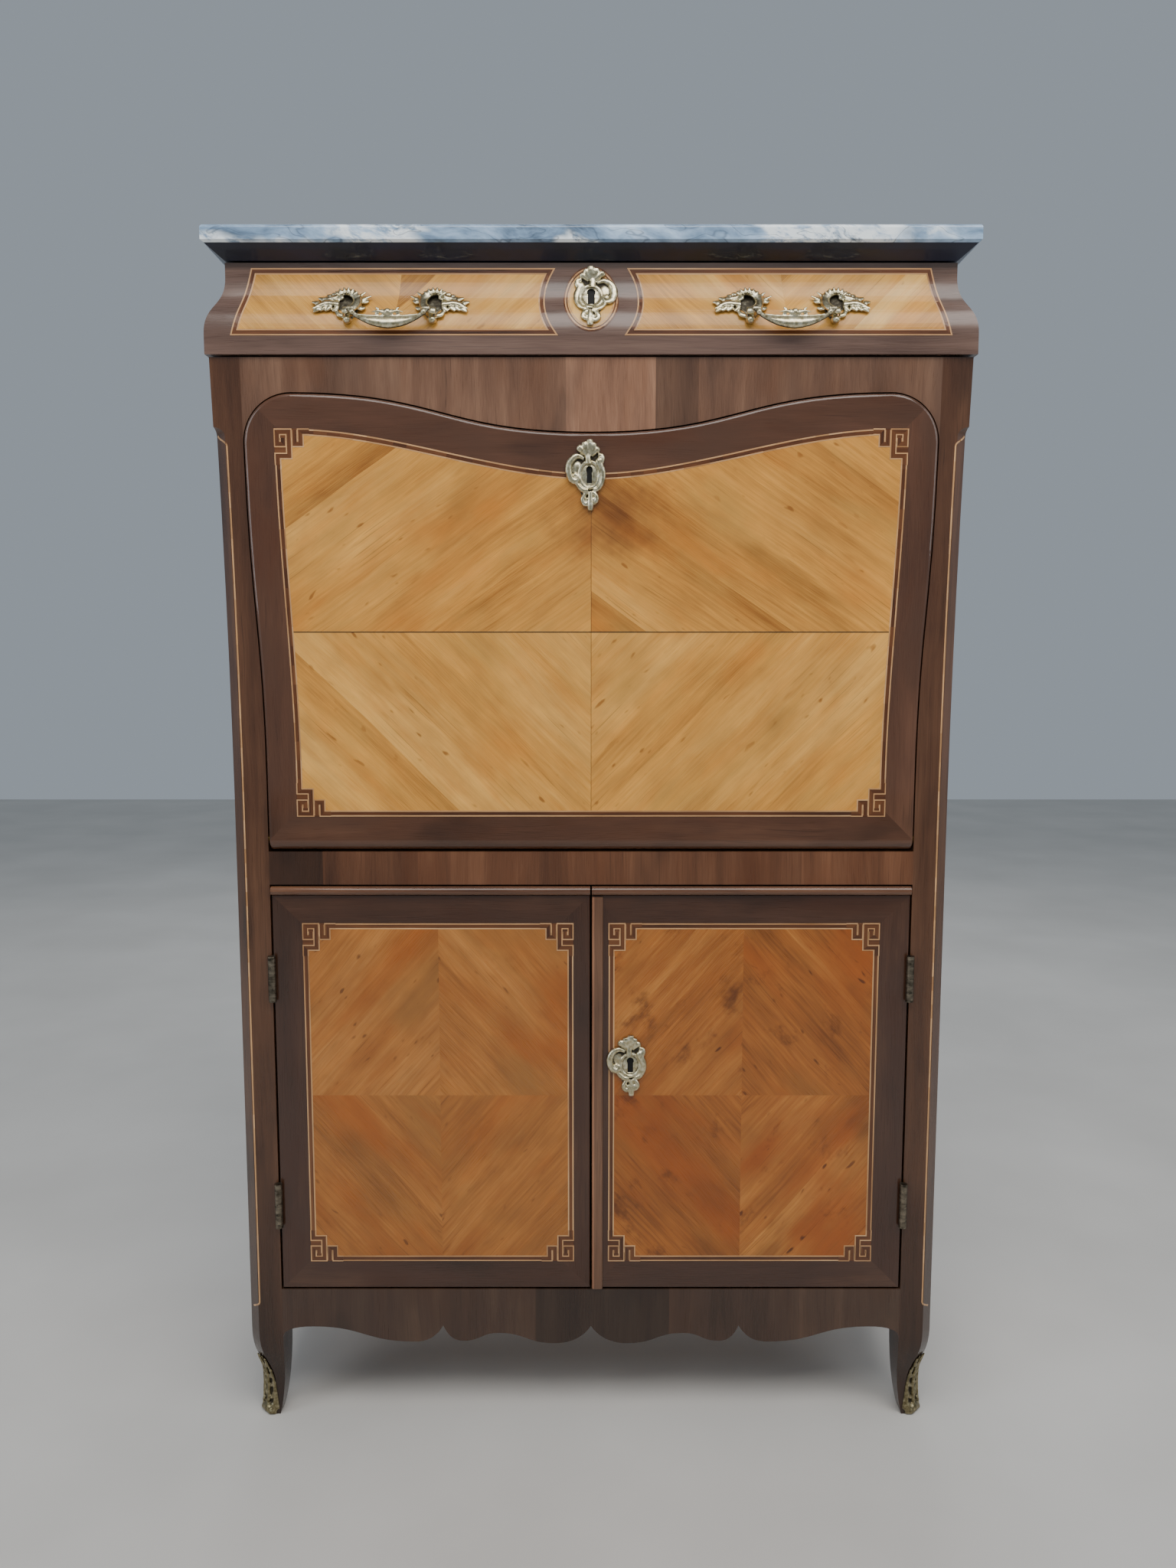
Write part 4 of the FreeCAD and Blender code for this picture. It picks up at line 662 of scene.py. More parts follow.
class Marquetry:
    """Thin sheets of wood laid on one face and kept together as one piece."""

    def __init__(self, name, body, seat, *finishes, level=SHEET_LEVEL):
        self.name = name
        self.body = body
        self.seat = seat
        self.finishes = finishes
        self.level = level
        self.mesh = bmesh.new()
        self.grain = self.mesh.loops.layers.float_vector.new("grain")
        self.tone = self.mesh.loops.layers.float.new("tone")
        self.sheets = 0

    def lay(self, outline, finish, turn=0, lift=SHEET_LIFT, tone=0):
        """Lays one sheet with its grain turned from the level, by degrees."""
        self.sheets += 1
        self.sheet_tone = tone
        flat = bmesh.new()
        flat.faces.new([flat.verts.new((u, v, 0)) for u, v in outline])
        levels = [v for _, v in outline]
        level = min(levels) + self.level
        while level < max(levels):
            whole = [*flat.verts, *flat.edges, *flat.faces]
            bmesh.ops.bisect_plane(flat, geom=whole, plane_co=(0, level, 0), plane_no=(0, 1, 0))
            level += self.level
        along = ray(turn)
        side = beside(along)
        made = {}
        for vert in flat.verts:
            made[vert] = self.mesh.verts.new(self.seat.at(vert.co.x, vert.co.y, lift))
        for face in flat.faces:
            self.add_face([made[v] for v in face.verts], [v.co.xy for v in face.verts], along, side, finish)
        for edge in flat.edges:
            if edge.is_boundary:
                first, second = edge.verts
                sunk = [self.mesh.verts.new(self.seat.at(v.co.x, v.co.y, lift - SHEET_THICK))
                        for v in (second, first)]
                flat_places = [v.co.xy for v in (first, second, second, first)]
                self.add_face([made[first], made[second], *sunk], flat_places, along, side, finish)
        flat.free()

    def add_face(self, verts, places, along, side, finish):
        face = self.mesh.faces.new(verts)
        face.material_index = finish
        across, depth = [self.sheets * step for step in GRAIN_STEPS]
        for loop, place in zip(face.loops, places):
            loop[self.grain] = (place.dot(along), place.dot(side) + across, depth)
            loop[self.tone] = self.sheet_tone

    def line(self, path, width, finish, lift, closed=False):
        """A narrow line of wood along a path, mitred at its bends."""
        points = [Vector(place) for place in path]
        count = len(points)
        edges = []
        for index, place in enumerate(points):
            before = points[index - 1] if closed or index else place
            after = points[(index + 1) % count] if closed or index < count - 1 else place
            ways = [(b - a).normalized() for a, b in ((before, place), (place, after)) if (b - a).length]
            normals = [beside(way) for way in ways]
            mitre = sum(normals, Vector((0, 0))).normalized()
            reach = width / 2 / max(mitre.dot(normals[0]), MITRE_LEAST_SHARE)
            edges.append((place + mitre * reach, place - mitre * reach))
        pairs = list(zip(edges, edges[1:] + edges[:1] if closed else edges[1:]))
        for (left, right), (next_left, next_right) in pairs:
            way = next_left - left
            turn = math.degrees(math.atan2(way.y, way.x))
            self.lay([right, next_right, next_left, left], finish, turn, lift)

    def lines(self, path, widths, finishes, lifts, closed=False):
        """Lines over one another along one path, the lowest first."""
        for width, finish, lift in zip(widths, finishes, lifts):
            self.line(path, width, finish, lift, closed)

    def string(self, path, closed=False):
        """A dark line between two light ones."""
        self.lines(path, (STRING_WIDE, STRING_CORE), (LIGHT, DARK), STRING_LIFTS, closed)

    def finished(self, slot="veneered_wood"):
        bmesh.ops.recalc_face_normals(self.mesh, faces=self.mesh.faces)
        return made_piece(self.name, self.mesh, self.finishes, self.body)


# The dark bands of a key corner, in units from the corner: across the panel, then up it.
KEY_UNIT = 6.4 * MM
KEY_GROUND_SHARES = ((0, 0), (5, 0), (5, 3), (3, 3), (3, 5), (0, 5))
KEY_SPIRAL_SHARES = ((0.5, 6), (0.5, 4.5), (2.5, 4.5), (2.5, 0.5), (0.5, 0.5), (0.5, 2.5), (1.5, 2.5),
                     (1.5, 1.5))
KEY_HOOK_SHARES = ((6, 0.5), (4.5, 0.5), (4.5, 2.5), (3.5, 2.5), (3.5, 0.2))
# Each layer of bands on the dark ground: its wood, its width in units, and its lift.
KEY_BAND_SHARES = ((LIGHT, 1.1, 0.46 * MM), (DARK, 0.7, 0.52 * MM))
KEY_LIFT = 0.4 * MM


def key_corner(work, corner, inward):
    """A square key in a corner of a string border; inward gives the two directions into the panel."""
    ground, *paths = [[(corner[0] + inward[0] * KEY_UNIT * u, corner[1] + inward[1] * KEY_UNIT * v)
                       for u, v in shares]
                      for shares in (KEY_GROUND_SHARES, KEY_SPIRAL_SHARES, KEY_HOOK_SHARES)]
    work.lay(ground, DARK, lift=KEY_LIFT)
    for finish, share, lift in KEY_BAND_SHARES:
        for path in paths:
            work.line(path, KEY_UNIT * share, finish, lift)


def quartered(work, us, vs, joint, turns, tones):
    """Four quarters of straight grain that meet at a joint, in a string border with a key in each corner;
    tones gives those of the left pair, then of the right, each from below."""
    for u, pair_turns, pair_tones in zip(us, (turns, turns[::-1]), tones):
        for v, turn, tone in zip(vs, pair_turns, pair_tones):
            work.lay(rectangle(*joint, u, v), MAIN, turn, tone=tone)
    work.string(rectangle(us[0], vs[0], us[1], vs[1], INSET), closed=True)
    for u, inward in zip(us, (1, -1)):
        for v, rise in zip(vs, (1, -1)):
            key_corner(work, (u, v), (inward, rise))
    return work.finished()


# Heights between which painted shade darkens the posts towards the floor and the drawer's upper edge
# under the marble, and what is left of their colour.
POST_SHADE_HEIGHTS = (340 * MM, 60 * MM)
POST_LEFT_SHARE = 0.34
DRAWER_SHADE_HEIGHTS = (1338 * MM, 1342 * MM)
DRAWER_LEFT_SHARE = 0.42
# Upright pieces of the rails: where each begins and how bright it is.
FRIEZE_PIECES = ((-500 * MM, 1.2), (-210 * MM, 1.34), (-29 * MM, 2.05), (67 * MM, 0.9), (115 * MM, 1.26),
                 (200 * MM, 1.15))
MID_RAIL_PIECES = ((-500 * MM, 0.33), (-310 * MM, 0.8), (-200 * MM, 0.95), (50 * MM, 0.86), (240 * MM, 1.05))
APRON_PIECES = ((-500 * MM, 0.44), (-70 * MM, 0.27), (10 * MM, 0.23), (90 * MM, 0.44), (250 * MM, 0.5))

# Finishes that more than one piece has.
honey = fall_veneer("fall_veneer")
amber = veneer("left_door_veneer", AMBER, band=55, contrast=0.4, patch=0.3, strips=0.4, knots=0.8, mottle=1,
               burr=0.25)
chestnut = veneer("right_door_veneer", CHESTNUT, band=42, contrast=0.5, patch=0.5, strips=0.4, knots=0.9,
                  mottle=1, burr=0.75)
straw = veneer("drawer_panel_veneer", STRAW, SATIN, band=50, contrast=0.8, patch=0.16, strips=0.6, knots=0.7,
               mottle=0.5)
lining = veneer("door_lining_veneer", BROWN, SATIN, band=50, contrast=0.7, patch=0.35, mottle=0.6)
light_line = veneer("light_line", LIGHT_TONES, band=200, patch=0.1)
dark_line = veneer("dark_line", DARK_TONES, band=200, patch=0.2)
LINES = (light_line, dark_line)
bronze_gilt = bronze("gilt_bronze", (164, 150, 112), (212, 203, 170), (238, 233, 212))
foot_bronze = bronze("foot_bronze", (96, 86, 62), (142, 132, 102), (182, 174, 146))
brass = worn_metal("hinge_brass", (92, 70, 38), (186, 154, 92), 0.36)
dull_brass = worn_metal("old_hinge_brass", (44, 40, 34), (138, 128, 112), 0.4)
gold_leaf = worn_metal("gold_leaf", (122, 88, 38), (214, 176, 96), 0.32)
iron = worn_metal("lock_iron", (72, 69, 66), (162, 157, 150), 0.42)
oak_end = oak("oak_end_grain", "yxz")
shadow_black = dusty("keyhole_black", 500, 2, ((0.3, (6, 5, 4)), (0.8, (20, 17, 14))), (0.2, 0.7))
fall_low, fall_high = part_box("fall_board")
door_low, door_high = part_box("right_door_panel")
door_middle = (door_low.x + door_high.x) / 2
left_border, right_border = [border_veneer(f"{side}_door_border", ROSEWOOD, way * door_middle,
                                           door_high.x - door_middle, door_low.z, door_high.z)
                             for side, way in SIDES]


def pair(name):
    return [f"{side}_{name}" for side, _ in SIDES]


# The post veneer and the drawer veneer below carry painted shade: the posts towards the floor, the drawer's
# upper edge under the marble.
SOLID_FINISHES = {
    solid_wood("case_veneer_upright", "zxy", RUSSET, band=50, patch=0.45): pair("drawer_cheek"),
    shade_painted_wood("post_veneer", "zxy", POST_TONES, POST_SHADE_HEIGHTS, POST_LEFT_SHARE, band=60, contrast=0.7):
        pair("front_post"),
    solid_wood("side_veneer", "zyx", RUSSET, band=50, patch=0.4): pair("side_panel") + pair("back_post"),
    solid_wood("moulding_wood", "xzy", MOULDING_TONES, GLOSS, band=90, gloss=0.2): pair("door_moulding"),
    shade_painted_wood("drawer_veneer", "xzy", DRAWER_TONES, DRAWER_SHADE_HEIGHTS, DRAWER_LEFT_SHARE, band=60,
                contrast=0.7): ["drawer_front"],
    border_veneer("fall_border", FALL_BORDER_TONES, 0, fall_high.x, fall_low.z, fall_high.z): ["fall_board"],
    left_border: ["left_door_panel"],
    right_border: ["right_door_panel"],
    pieced_rail("frieze_veneer", RUSSET, FRIEZE_PIECES): ["frieze_rail"],
    pieced_rail("mid_rail_veneer", BROWN, MID_RAIL_PIECES): ["mid_rail"],
    pieced_rail("apron_veneer", RUSSET, APRON_PIECES): ["apron"],
    marble(): ["marble_top"],
    leather(): ["fall_leather"],
    oak("oak_level", "xyz"): ["dust_board", "desk_floor", "cupboard_floor", "cupboard_shelf", "sub_top",
                              "nest_shelves", "drawer_back", "drawer_bottom"],
    oak("oak_upright", "zxy"): ["nest_uprights"],
    boarded_oak("back_boards"): ["back_panel"],
    oak("oak_deep", "yzx"): ["drawer_left_side", "drawer_right_side", "shelf_cleats"],
    solid_wood("small_drawer_wood", "xzy", AMBER, band=60): pair("small_drawer"),
    edge_lit_strip("strip_wood", STRIP_TONES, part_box("meeting_strip")[0].x): ["meeting_strip"],
    brass: ["stay_guides", "pivot_bushes", "fall_pivots", "fall_stays", "left_bolt_keep", "left_door_bolt",
            *pair("small_knob")],
    dull_brass: ["post_hinges", *pair("door_hinges")],
    iron: ["drawer_lock", "fall_lock", "door_lock", "drawer_bolt", "fall_bolt", "door_bolt"],
    bronze_gilt: ["foot_mounts", "handle_mounts", *pair("bail"), "drawer_escutcheon", "fall_escutcheon",
                  "door_escutcheon"],
}
for finish, names in SOLID_FINISHES.items():
    for name in names:
        nodes[name].data.materials.clear()
        nodes[name].data.materials.append(finish.material)


# Arrises that use has eased, so that they catch the light.
EASED_EDGES = {"marble_top": 1.4 * MM, "drawer_front": 0.8 * MM, "left_door_panel": 0.9 * MM,
               "right_door_panel": 0.9 * MM, "meeting_strip": 2 * MM, "frieze_rail": 0.6 * MM,
               "mid_rail": 0.6 * MM, "apron": 0.8 * MM}
EASED_TURN = 50
EASED_STEPS = 3
for name, width in EASED_EDGES.items():
    ease = nodes[name].modifiers.new("eased_edge", "BEVEL")
    ease.width = width
    ease.segments = EASED_STEPS
    ease.limit_method = "ANGLE"
    ease.angle_limit = math.radians(EASED_TURN)
    ease.use_clamp_overlap = True
    ease.harden_normals = True


# Marquetry of the fall: four quarters of straight grain that meet in the middle.
FALL_BORDER = 33.5 * MM
FALL_FOOT = 738.5 * MM
FALL_SHOULDER = 1167 * MM
FALL_DIP = 1120 * MM
FALL_JOINT = 947 * MM
FALL_STRAIGHT_TOP = 780 * MM
FALL_SPREAD_TOP = 1152.5 * MM
FALL_HALF = 368.5 * MM
FALL_SPREAD = 11.5 * MM
DIP_HALF = 328 * MM
# Turn of the grain and tone of the upper and the lower sheet on each side of the middle.
FALL_TURNS = {-1: (35, 135), 1: (145, 45)}
FALL_TONES = {-1: (0, 0.1), 1: (-0.1, 0.06)}
UPPER_STEPS = 12
LOWER_STEPS = 10
SIDE_STEPS = 20
HEAD_STEPS = 24
# Joints between the quarters: the upright one is closed and the level one has opened.
CLOSED_JOINT = 0.5 * MM
OPEN_JOINT = 1.1 * MM
JOINT_LIFT = 0.24 * MM


def fall_side(z):
    """Half width of the string border of the fall at a level."""
    share = min(max((z - FALL_STRAIGHT_TOP) / (FALL_SPREAD_TOP - FALL_STRAIGHT_TOP), 0), 1)
    return FALL_HALF + FALL_SPREAD * eased(share) - FALL_BORDER


def fall_head(x):
    """Level of the string border's upper edge."""
    return FALL_DIP + (FALL_SHOULDER - FALL_DIP) * eased(min(abs(x) / DIP_HALF, 1))


fall_work = Marquetry("fall_marquetry", "fall", front_seat("fall_board"), honey, *LINES, shadow_black)
foot_half = fall_side(FALL_FOOT)
head_half = fall_side(FALL_SHOULDER)
for way in (-1, 1):
    upper_side = [(way * fall_side(z), z) for z in steps(FALL_JOINT, FALL_SHOULDER, UPPER_STEPS)]
    upper_edge = [(way * x, fall_head(x)) for x in reversed(steps(0, head_half, HEAD_STEPS))]
    lower_side = [(way * fall_side(z), z) for z in reversed(steps(FALL_FOOT, FALL_JOINT, LOWER_STEPS))]
    sheets = ([(0, FALL_JOINT), *upper_side, *upper_edge[1:]],
              [(0, FALL_JOINT), *lower_side, (0, FALL_FOOT)])
    for sheet, turn, tone in zip(sheets, FALL_TURNS[way], FALL_TONES[way]):
        fall_work.lay(sheet, MAIN, turn, tone=tone)
side_path = [(fall_side(z) - INSET, z) for z in steps(FALL_FOOT, FALL_SHOULDER, SIDE_STEPS)]
fall_work.string(side_path)
fall_work.string([(-x, z) for x, z in side_path])
fall_work.string([(x, fall_head(x) - INSET) for x in steps(-head_half, head_half, HEAD_STEPS * 2)])
fall_work.string([(-foot_half, FALL_FOOT + INSET), (foot_half, FALL_FOOT + INSET)])
for way in (-1, 1):
    key_corner(fall_work, (way * foot_half, FALL_FOOT), (-way, 1))
    key_corner(fall_work, (way * head_half, FALL_SHOULDER), (-way, -1))
upright = [(0, FALL_FOOT + STRING_WIDE), (0, FALL_DIP - STRING_WIDE)]
fall_work.line(upright, CLOSED_JOINT, DARK, JOINT_LIFT)
joint_half = fall_side(FALL_JOINT) - STRING_WIDE
fall_work.line([(-joint_half, FALL_JOINT), (joint_half, FALL_JOINT)], OPEN_JOINT, GAP, JOINT_LIFT)
fall_work.finished()

# Marquetry of the doors: the wood of each, and the tones of its quarters.
DOOR_INLAY_X = (20.5 * MM, 334 * MM)
DOOR_INLAY_Z = (202 * MM, 613 * MM)
DOOR_JOINT = (177 * MM, 407 * MM)
DOOR_TURNS = (131, 49)
DOOR_WOODS = {-1: (amber, ((-0.05, 0), (-0.04, 0.02))), 1: (chestnut, ((-0.06, 0.06), (0.02, -0.08)))}
for side, way in SIDES:
    sheet, tones = DOOR_WOODS[way]
    seat = front_seat(f"{side}_door_panel")
    work = Marquetry(f"{side}_door_marquetry", f"{side}_door", seat, sheet, *LINES)
    xs = sorted(way * x for x in DOOR_INLAY_X)
    quartered(work, xs, DOOR_INLAY_Z, (way * DOOR_JOINT[0], DOOR_JOINT[1]), DOOR_TURNS, tones)

# Marquetry of the drawer: two panels beside a dark round with an oval in it.
PANEL_Z = (1268 * MM, 1337 * MM)
PANEL_END = (385.6 * MM, 367.8 * MM)
PANEL_TURNS = {-1: (45, 135), 1: (135, 45)}
ROUND_Z = 1304.5 * MM
ROUND_RADIUS = (54 * MM, 58.5 * MM)
ROUND_STEPS = 16
OVAL_Z = 1305.5 * MM
OVAL_RADIUS = (28 * MM, 34.5 * MM)
OVAL_STEPS = 48
OVAL_TONE = 0.2
# A light line round the oval in a dark band three times as wide, and another light one inside it.
OVAL_LINE = 1.5 * MM
OVAL_BAND = OVAL_LINE * 3
OVAL_INNER_SHARE = 0.88
OVAL_LIFTS = (0.28 * MM, 0.36 * MM)


def round_edge(z):
    share = (z - ROUND_Z) / ROUND_RADIUS[1]
    return ROUND_RADIUS[0] * math.sqrt(1 - share * share)


drawer_work = Marquetry("drawer_marquetry", "drawer", front_seat("drawer_front"), straw, *LINES,
                        level=OGEE_LEVEL)
for way in (-1, 1):
    arc = [(way * round_edge(z), z) for z in steps(*PANEL_Z, ROUND_STEPS)]
    ends = [(way * x, z) for x, z in zip(PANEL_END, PANEL_Z)]
    foot, head = [((near[0] + far[0]) / 2, far[1]) for near, far in zip((arc[0], arc[-1]), ends)]
    for half, turn in zip(([*arc, head, foot], [foot, head, ends[1], ends[0]]), PANEL_TURNS[way]):
        drawer_work.lay(half, MAIN, turn)
    drawer_work.string([*arc, ends[1], ends[0]], closed=True)
turns = [math.tau * index / OVAL_STEPS for index in range(OVAL_STEPS)]
oval = [(u, OVAL_Z + v) for u, v in ellipse(OVAL_RADIUS, turns)]
drawer_work.lay(oval, MAIN, UPRIGHT_TURN, tone=OVAL_TONE)
drawer_work.line(oval, OVAL_BAND, DARK, OVAL_LIFTS[0], closed=True)
for share in (1, OVAL_INNER_SHARE):
    ring = [(u * share, OVAL_Z + (v - OVAL_Z) * share) for u, v in oval]
    drawer_work.line(ring, OVAL_LINE, LIGHT, OVAL_LIFTS[1], closed=True)
drawer_work.finished()

# Light lines down the front edges of the canted corners, which bend away at both ends.
CANT = 12 * MM
CASE_HALF = 411 * MM
DOOR_PLANE = -160.5 * MM
SWELL_LOW = 713 * MM
SWELL_HIGH = 530 * MM
SIDE_SWELL = 4 * MM
LINE_TOP = 1150 * MM
LINE_FOOT = 150 * MM
LINE_WIDE = 1.7 * MM
LINE_LIFT = 0.25 * MM
LINE_STEPS = 60
BEND_SHARES = (0.15, 1)
BEND_STEPS = 8
HOOK_SHARES = (0.7, 0.15)
HOOK_STEPS = 6


def cant_edge(z):
    swell = max(z - SWELL_LOW, 0) / SWELL_HIGH
    return CASE_HALF + SIDE_SWELL * swell * swell - CANT - LINE_WIDE


for side, way in SIDES:
    line_work = Marquetry(f"{side}_post_line", "case", front_seat(f"{side}_front_post"), light_line)
    hook = [(way * (cant_edge(LINE_FOOT) + CANT * eased(share)), LINE_FOOT - CANT * share)
            for share in steps(*HOOK_SHARES, HOOK_STEPS)]
    path = [(way * cant_edge(z), z) for z in steps(LINE_FOOT, LINE_TOP, LINE_STEPS)]
    bend = [(way * (cant_edge(LINE_TOP) + CANT * eased(share)), LINE_TOP + CANT * share)
            for share in steps(*BEND_SHARES, BEND_STEPS)]
    line_work.line(hook + path + bend, LINE_WIDE, MAIN, LINE_LIFT)
    line_work.finished()

# Marquetry of the sides: one tall quartered panel and a plain one on the moulding above it.
SIDE_PANEL_Y = (-88 * MM, 127 * MM)
SIDE_PANEL_Z = (203 * MM, 1150 * MM)
SIDE_TURNS = (125, 55)
SIDE_TONES = ((0, 0), (0, 0))
CHEEK_PANEL_Y = (-104 * MM, 178 * MM)
for side, way in SIDES:
    seat = side_seat(way, f"{side}_side_panel", f"{side}_drawer_cheek")
    work = Marquetry(f"{side}_side_marquetry", "case", seat, amber, *LINES)
    joint = (sum(SIDE_PANEL_Y) / 2, sum(SIDE_PANEL_Z) / 2)
    quartered(work, SIDE_PANEL_Y, SIDE_PANEL_Z, joint, SIDE_TURNS, SIDE_TONES)
    cheek_work = Marquetry(f"{side}_cheek_marquetry", "case", seat, straw, *LINES, level=OGEE_LEVEL)
    cheek = rectangle(CHEEK_PANEL_Y[0], PANEL_Z[0], CHEEK_PANEL_Y[1], PANEL_Z[1])
    cheek_work.lay(cheek, MAIN)
    cheek_work.string(cheek, closed=True)
    cheek_work.finished()

# Bronze mounts: rounded strokes on a thin ground, cast together as one skin and seated on a face.
CASTING_GRAIN = 0.6 * MM
CASTING_EASE = 4
GROUND_THICK = 1.1 * MM
RELIEF_FULL = 4.2 * MM
STROKE_SIDES = 12
STROKE_STEPS = 8
CURL_STEPS = 9
DOME_FINENESS = 3
HOLLOW_SHARE = 1.6
# A leaf: its rib's thickness along it and rise, where its first and last lobes are, how their reach swells
# along it, and each lobe's elbow and tip, out from the rib and on along it, and its thickness.
RIB_THICK_SHARES = (1, 0.85, 0.3)
RIB_RISE_SHARE = 0.5
LOBE_FIRST_SHARE = 0.3
LOBE_LAST_SHARE = 0.5
LOBE_SWELL_SHARES = (0.3, 0.6)
LOBE_BEND_SHARES = ((0.62, 0.07), (1, 0.24))
LOBE_THICK_SHARES = (0.8, 1, 0.4)


def flowing(points):
    """A smooth line through the points."""
    points = [Vector(place) for place in points]
    first = points[0] * 2 - points[1]
    last = points[-1] * 2 - points[-2]
    ring = [first, *points, last]
    line = []
    for before, here, there, after in zip(ring, ring[1:], ring[2:], ring[3:]):
        for index in range(STROKE_STEPS):
            share = index / STROKE_STEPS
            lead = (there - before) / 2
            arrive = (after - here) / 2
            rest = 1 - share
            line.append(here * (rest * rest * (1 + 2 * share)) + there * (share * share * (3 - 2 * share))
                        + lead * (share * rest * rest) - arrive * (share * share * rest))
    return [*line, points[-1]]


def part_way(values, share):
    """The value at a share of the way along a row of values."""
    place = share * (len(values) - 1)
    index = min(int(place), len(values) - 2)
    return values[index] + (values[index + 1] - values[index]) * (place - index)


def mirrored(points, hand):
    """The points as they are where hand is one, and mirrored where it is below zero."""
    return [(hand * u, v) for u, v in points]


def raise_face(shape, outline, low, high):
    """Adds a flat face at one height and draws it out to another."""
    face = shape.faces.new([shape.verts.new((*place, low)) for place in outline])
    for part in bmesh.ops.extrude_face_region(shape, geom=[face])["geom"]:
        if isinstance(part, bmesh.types.BMVert):
            part.co.z = high


class Casting:
    """A mount drawn flat in shares of its own size: across, up, and out of the face. What is drawn is
    mirrored where hand is below zero."""

    def __init__(self, size):
        self.size = size
        self.mesh = bmesh.new()

    def stroke(self, points, thick, high=(0, 0), flat_share=0.9, hand=1):
        """A rounded stroke; thick and high give its half width and its height at even steps."""
        line = [place * self.size for place in flowing(mirrored(points, hand))]
        last = len(line) - 1
        rings = []
        for index, place in enumerate(line):
            ahead = line[min(index + 1, last)] - line[max(index - 1, 0)]
            side = beside(ahead).normalized()
            radius = part_way(thick, index / last) * self.size
            rise = part_way(high, index / last) * self.size
            ring = []
            for corner in range(STROKE_SIDES):
                turn = math.tau * corner / STROKE_SIDES
                flat = place + side * (math.cos(turn) * radius)
                ring.append(self.mesh.verts.new((*flat, rise + math.sin(turn) * radius * flat_share)))
            rings.append(ring)
        skin(self.mesh, rings)
        self.mesh.faces.new(rings[0])

    def dome(self, place, half, rise, high=0, hand=1):
        """A rounded boss."""
        spot = Matrix.Translation((hand * place[0] * self.size, place[1] * self.size, high * self.size))
        form = Matrix.Diagonal((half[0] * self.size, half[1] * self.size, rise * self.size, 1))
        bmesh.ops.create_icosphere(self.mesh, subdivisions=DOME_FINENESS, radius=1, matrix=spot @ form)

    def ground(self, outline):
        """A thin plate behind the strokes."""
        raise_face(self.mesh, [place * self.size for place in flowing(outline)], 0, GROUND_THICK)

    def curl(self, middle, radius, start, sweep, thick, shrink_share, high, hand=1):
        """A scroll that winds in from an angle, by degrees."""
        points = []
        for share in steps(0, 1, CURL_STEPS):
            turn = math.radians(start + sweep * share)
            reach = radius * (1 - share * (1 - shrink_share))
            points.append((middle[0] + math.cos(turn) * reach, middle[1] + math.sin(turn) * reach))
        self.stroke(points, thick, high, hand=hand)

    def leaf(self, root, tip, half, lobes, thick, bend, high, hand=1):
        """A leaf with a middle rib and pairs of lobes that turn towards its tip."""
        root, tip = [Vector(place) for place in mirrored((root, tip), hand)]
        way = tip - root
        side = beside(way).normalized()
        middle = (root + tip) / 2 + side * (hand * bend)
        rib = flowing((root, middle, tip))
        rib_thick, lobe_thick = [[thick * share for share in shares]
                                 for shares in (RIB_THICK_SHARES, LOBE_THICK_SHARES)]
        self.stroke((root, middle, tip), rib_thick, (high + thick * RIB_RISE_SHARE,) * 2)
        for index in range(lobes):
            share = (index + LOBE_FIRST_SHARE) / (lobes + LOBE_LAST_SHARE)
            start = rib[round(share * (len(rib) - 1))]
            reach = half * math.sin(math.pi * (LOBE_SWELL_SHARES[0] + LOBE_SWELL_SHARES[1] * share))
            for lobe in (-1, 1):
                elbow, end = [start + side * (lobe * reach * out_share) + way * on_share
                              for out_share, on_share in LOBE_BEND_SHARES]
                self.stroke((start, elbow, end), lobe_thick, (high, high))

    def draw(self, rows, hand=1):
        """Draws rows of shares that each begin with a kind of mark; both draws its rows on each hand."""
        marks = {"stroke": self.stroke, "dome": self.dome, "curl": self.curl, "leaf": self.leaf}
        for kind, *shares in rows:
            if kind == "both":
                for side in (-1, 1):
                    self.draw(shares, side)
            else:
                marks[kind](*shares, hand=hand)

    def cast(self, name, body, seat, origin, flip=1, hole=None, finish=bronze_gilt):
        """Makes one skin of the drawing and seats it; flip stretches it across, and mirrors it
        when it is below zero; hole cuts it through."""
        model = linked(f"{name}_model", bpy.data.meshes.new(f"{name}_model"))
        self.mesh.to_mesh(model.data)
        self.mesh.free()
        cover = model.modifiers.new("skin", "REMESH")
        cover.mode = "VOXEL"
        cover.voxel_size = CASTING_GRAIN
        ease = model.modifiers.new("ease", "SMOOTH")
        ease.iterations = CASTING_EASE
        if hole:
            through = model.modifiers.new("through", "BOOLEAN")
            through.object = hole
        mesh = bpy.data.meshes.new_from_object(model.evaluated_get(bpy.context.evaluated_depsgraph_get()))
        bpy.data.objects.remove(model)
        flat = bmesh.new()
        flat.from_mesh(mesh)
        bpy.data.meshes.remove(mesh)
        relief = flat.verts.layers.float.new("relief")
        for vert in flat.verts:
            around = [edge.other_vert(vert).co for edge in vert.link_edges]
            hollow = (sum(around, Vector()) / len(around) - vert.co).dot(vert.normal) / CASTING_GRAIN
            vert[relief] = min(vert.co.z / RELIEF_FULL, 1) - hollow * HOLLOW_SHARE
        for vert in flat.verts:
            vert.co = seat.at(origin[0] + vert.co.x * flip, origin[1] + vert.co.y, vert.co.z)
        if flip < 0:
            bmesh.ops.reverse_faces(flat, faces=flat.faces)
        for face in flat.faces:
            face.smooth = True
        return made_piece(name, flat, [finish], body)


class Level:
    """A flat upright plane in front of the case, for what hangs free of it."""

    def __init__(self, y):
        self.y = y

    def at(self, u, v, lift):
        return Vector((u, self.y - lift, v))


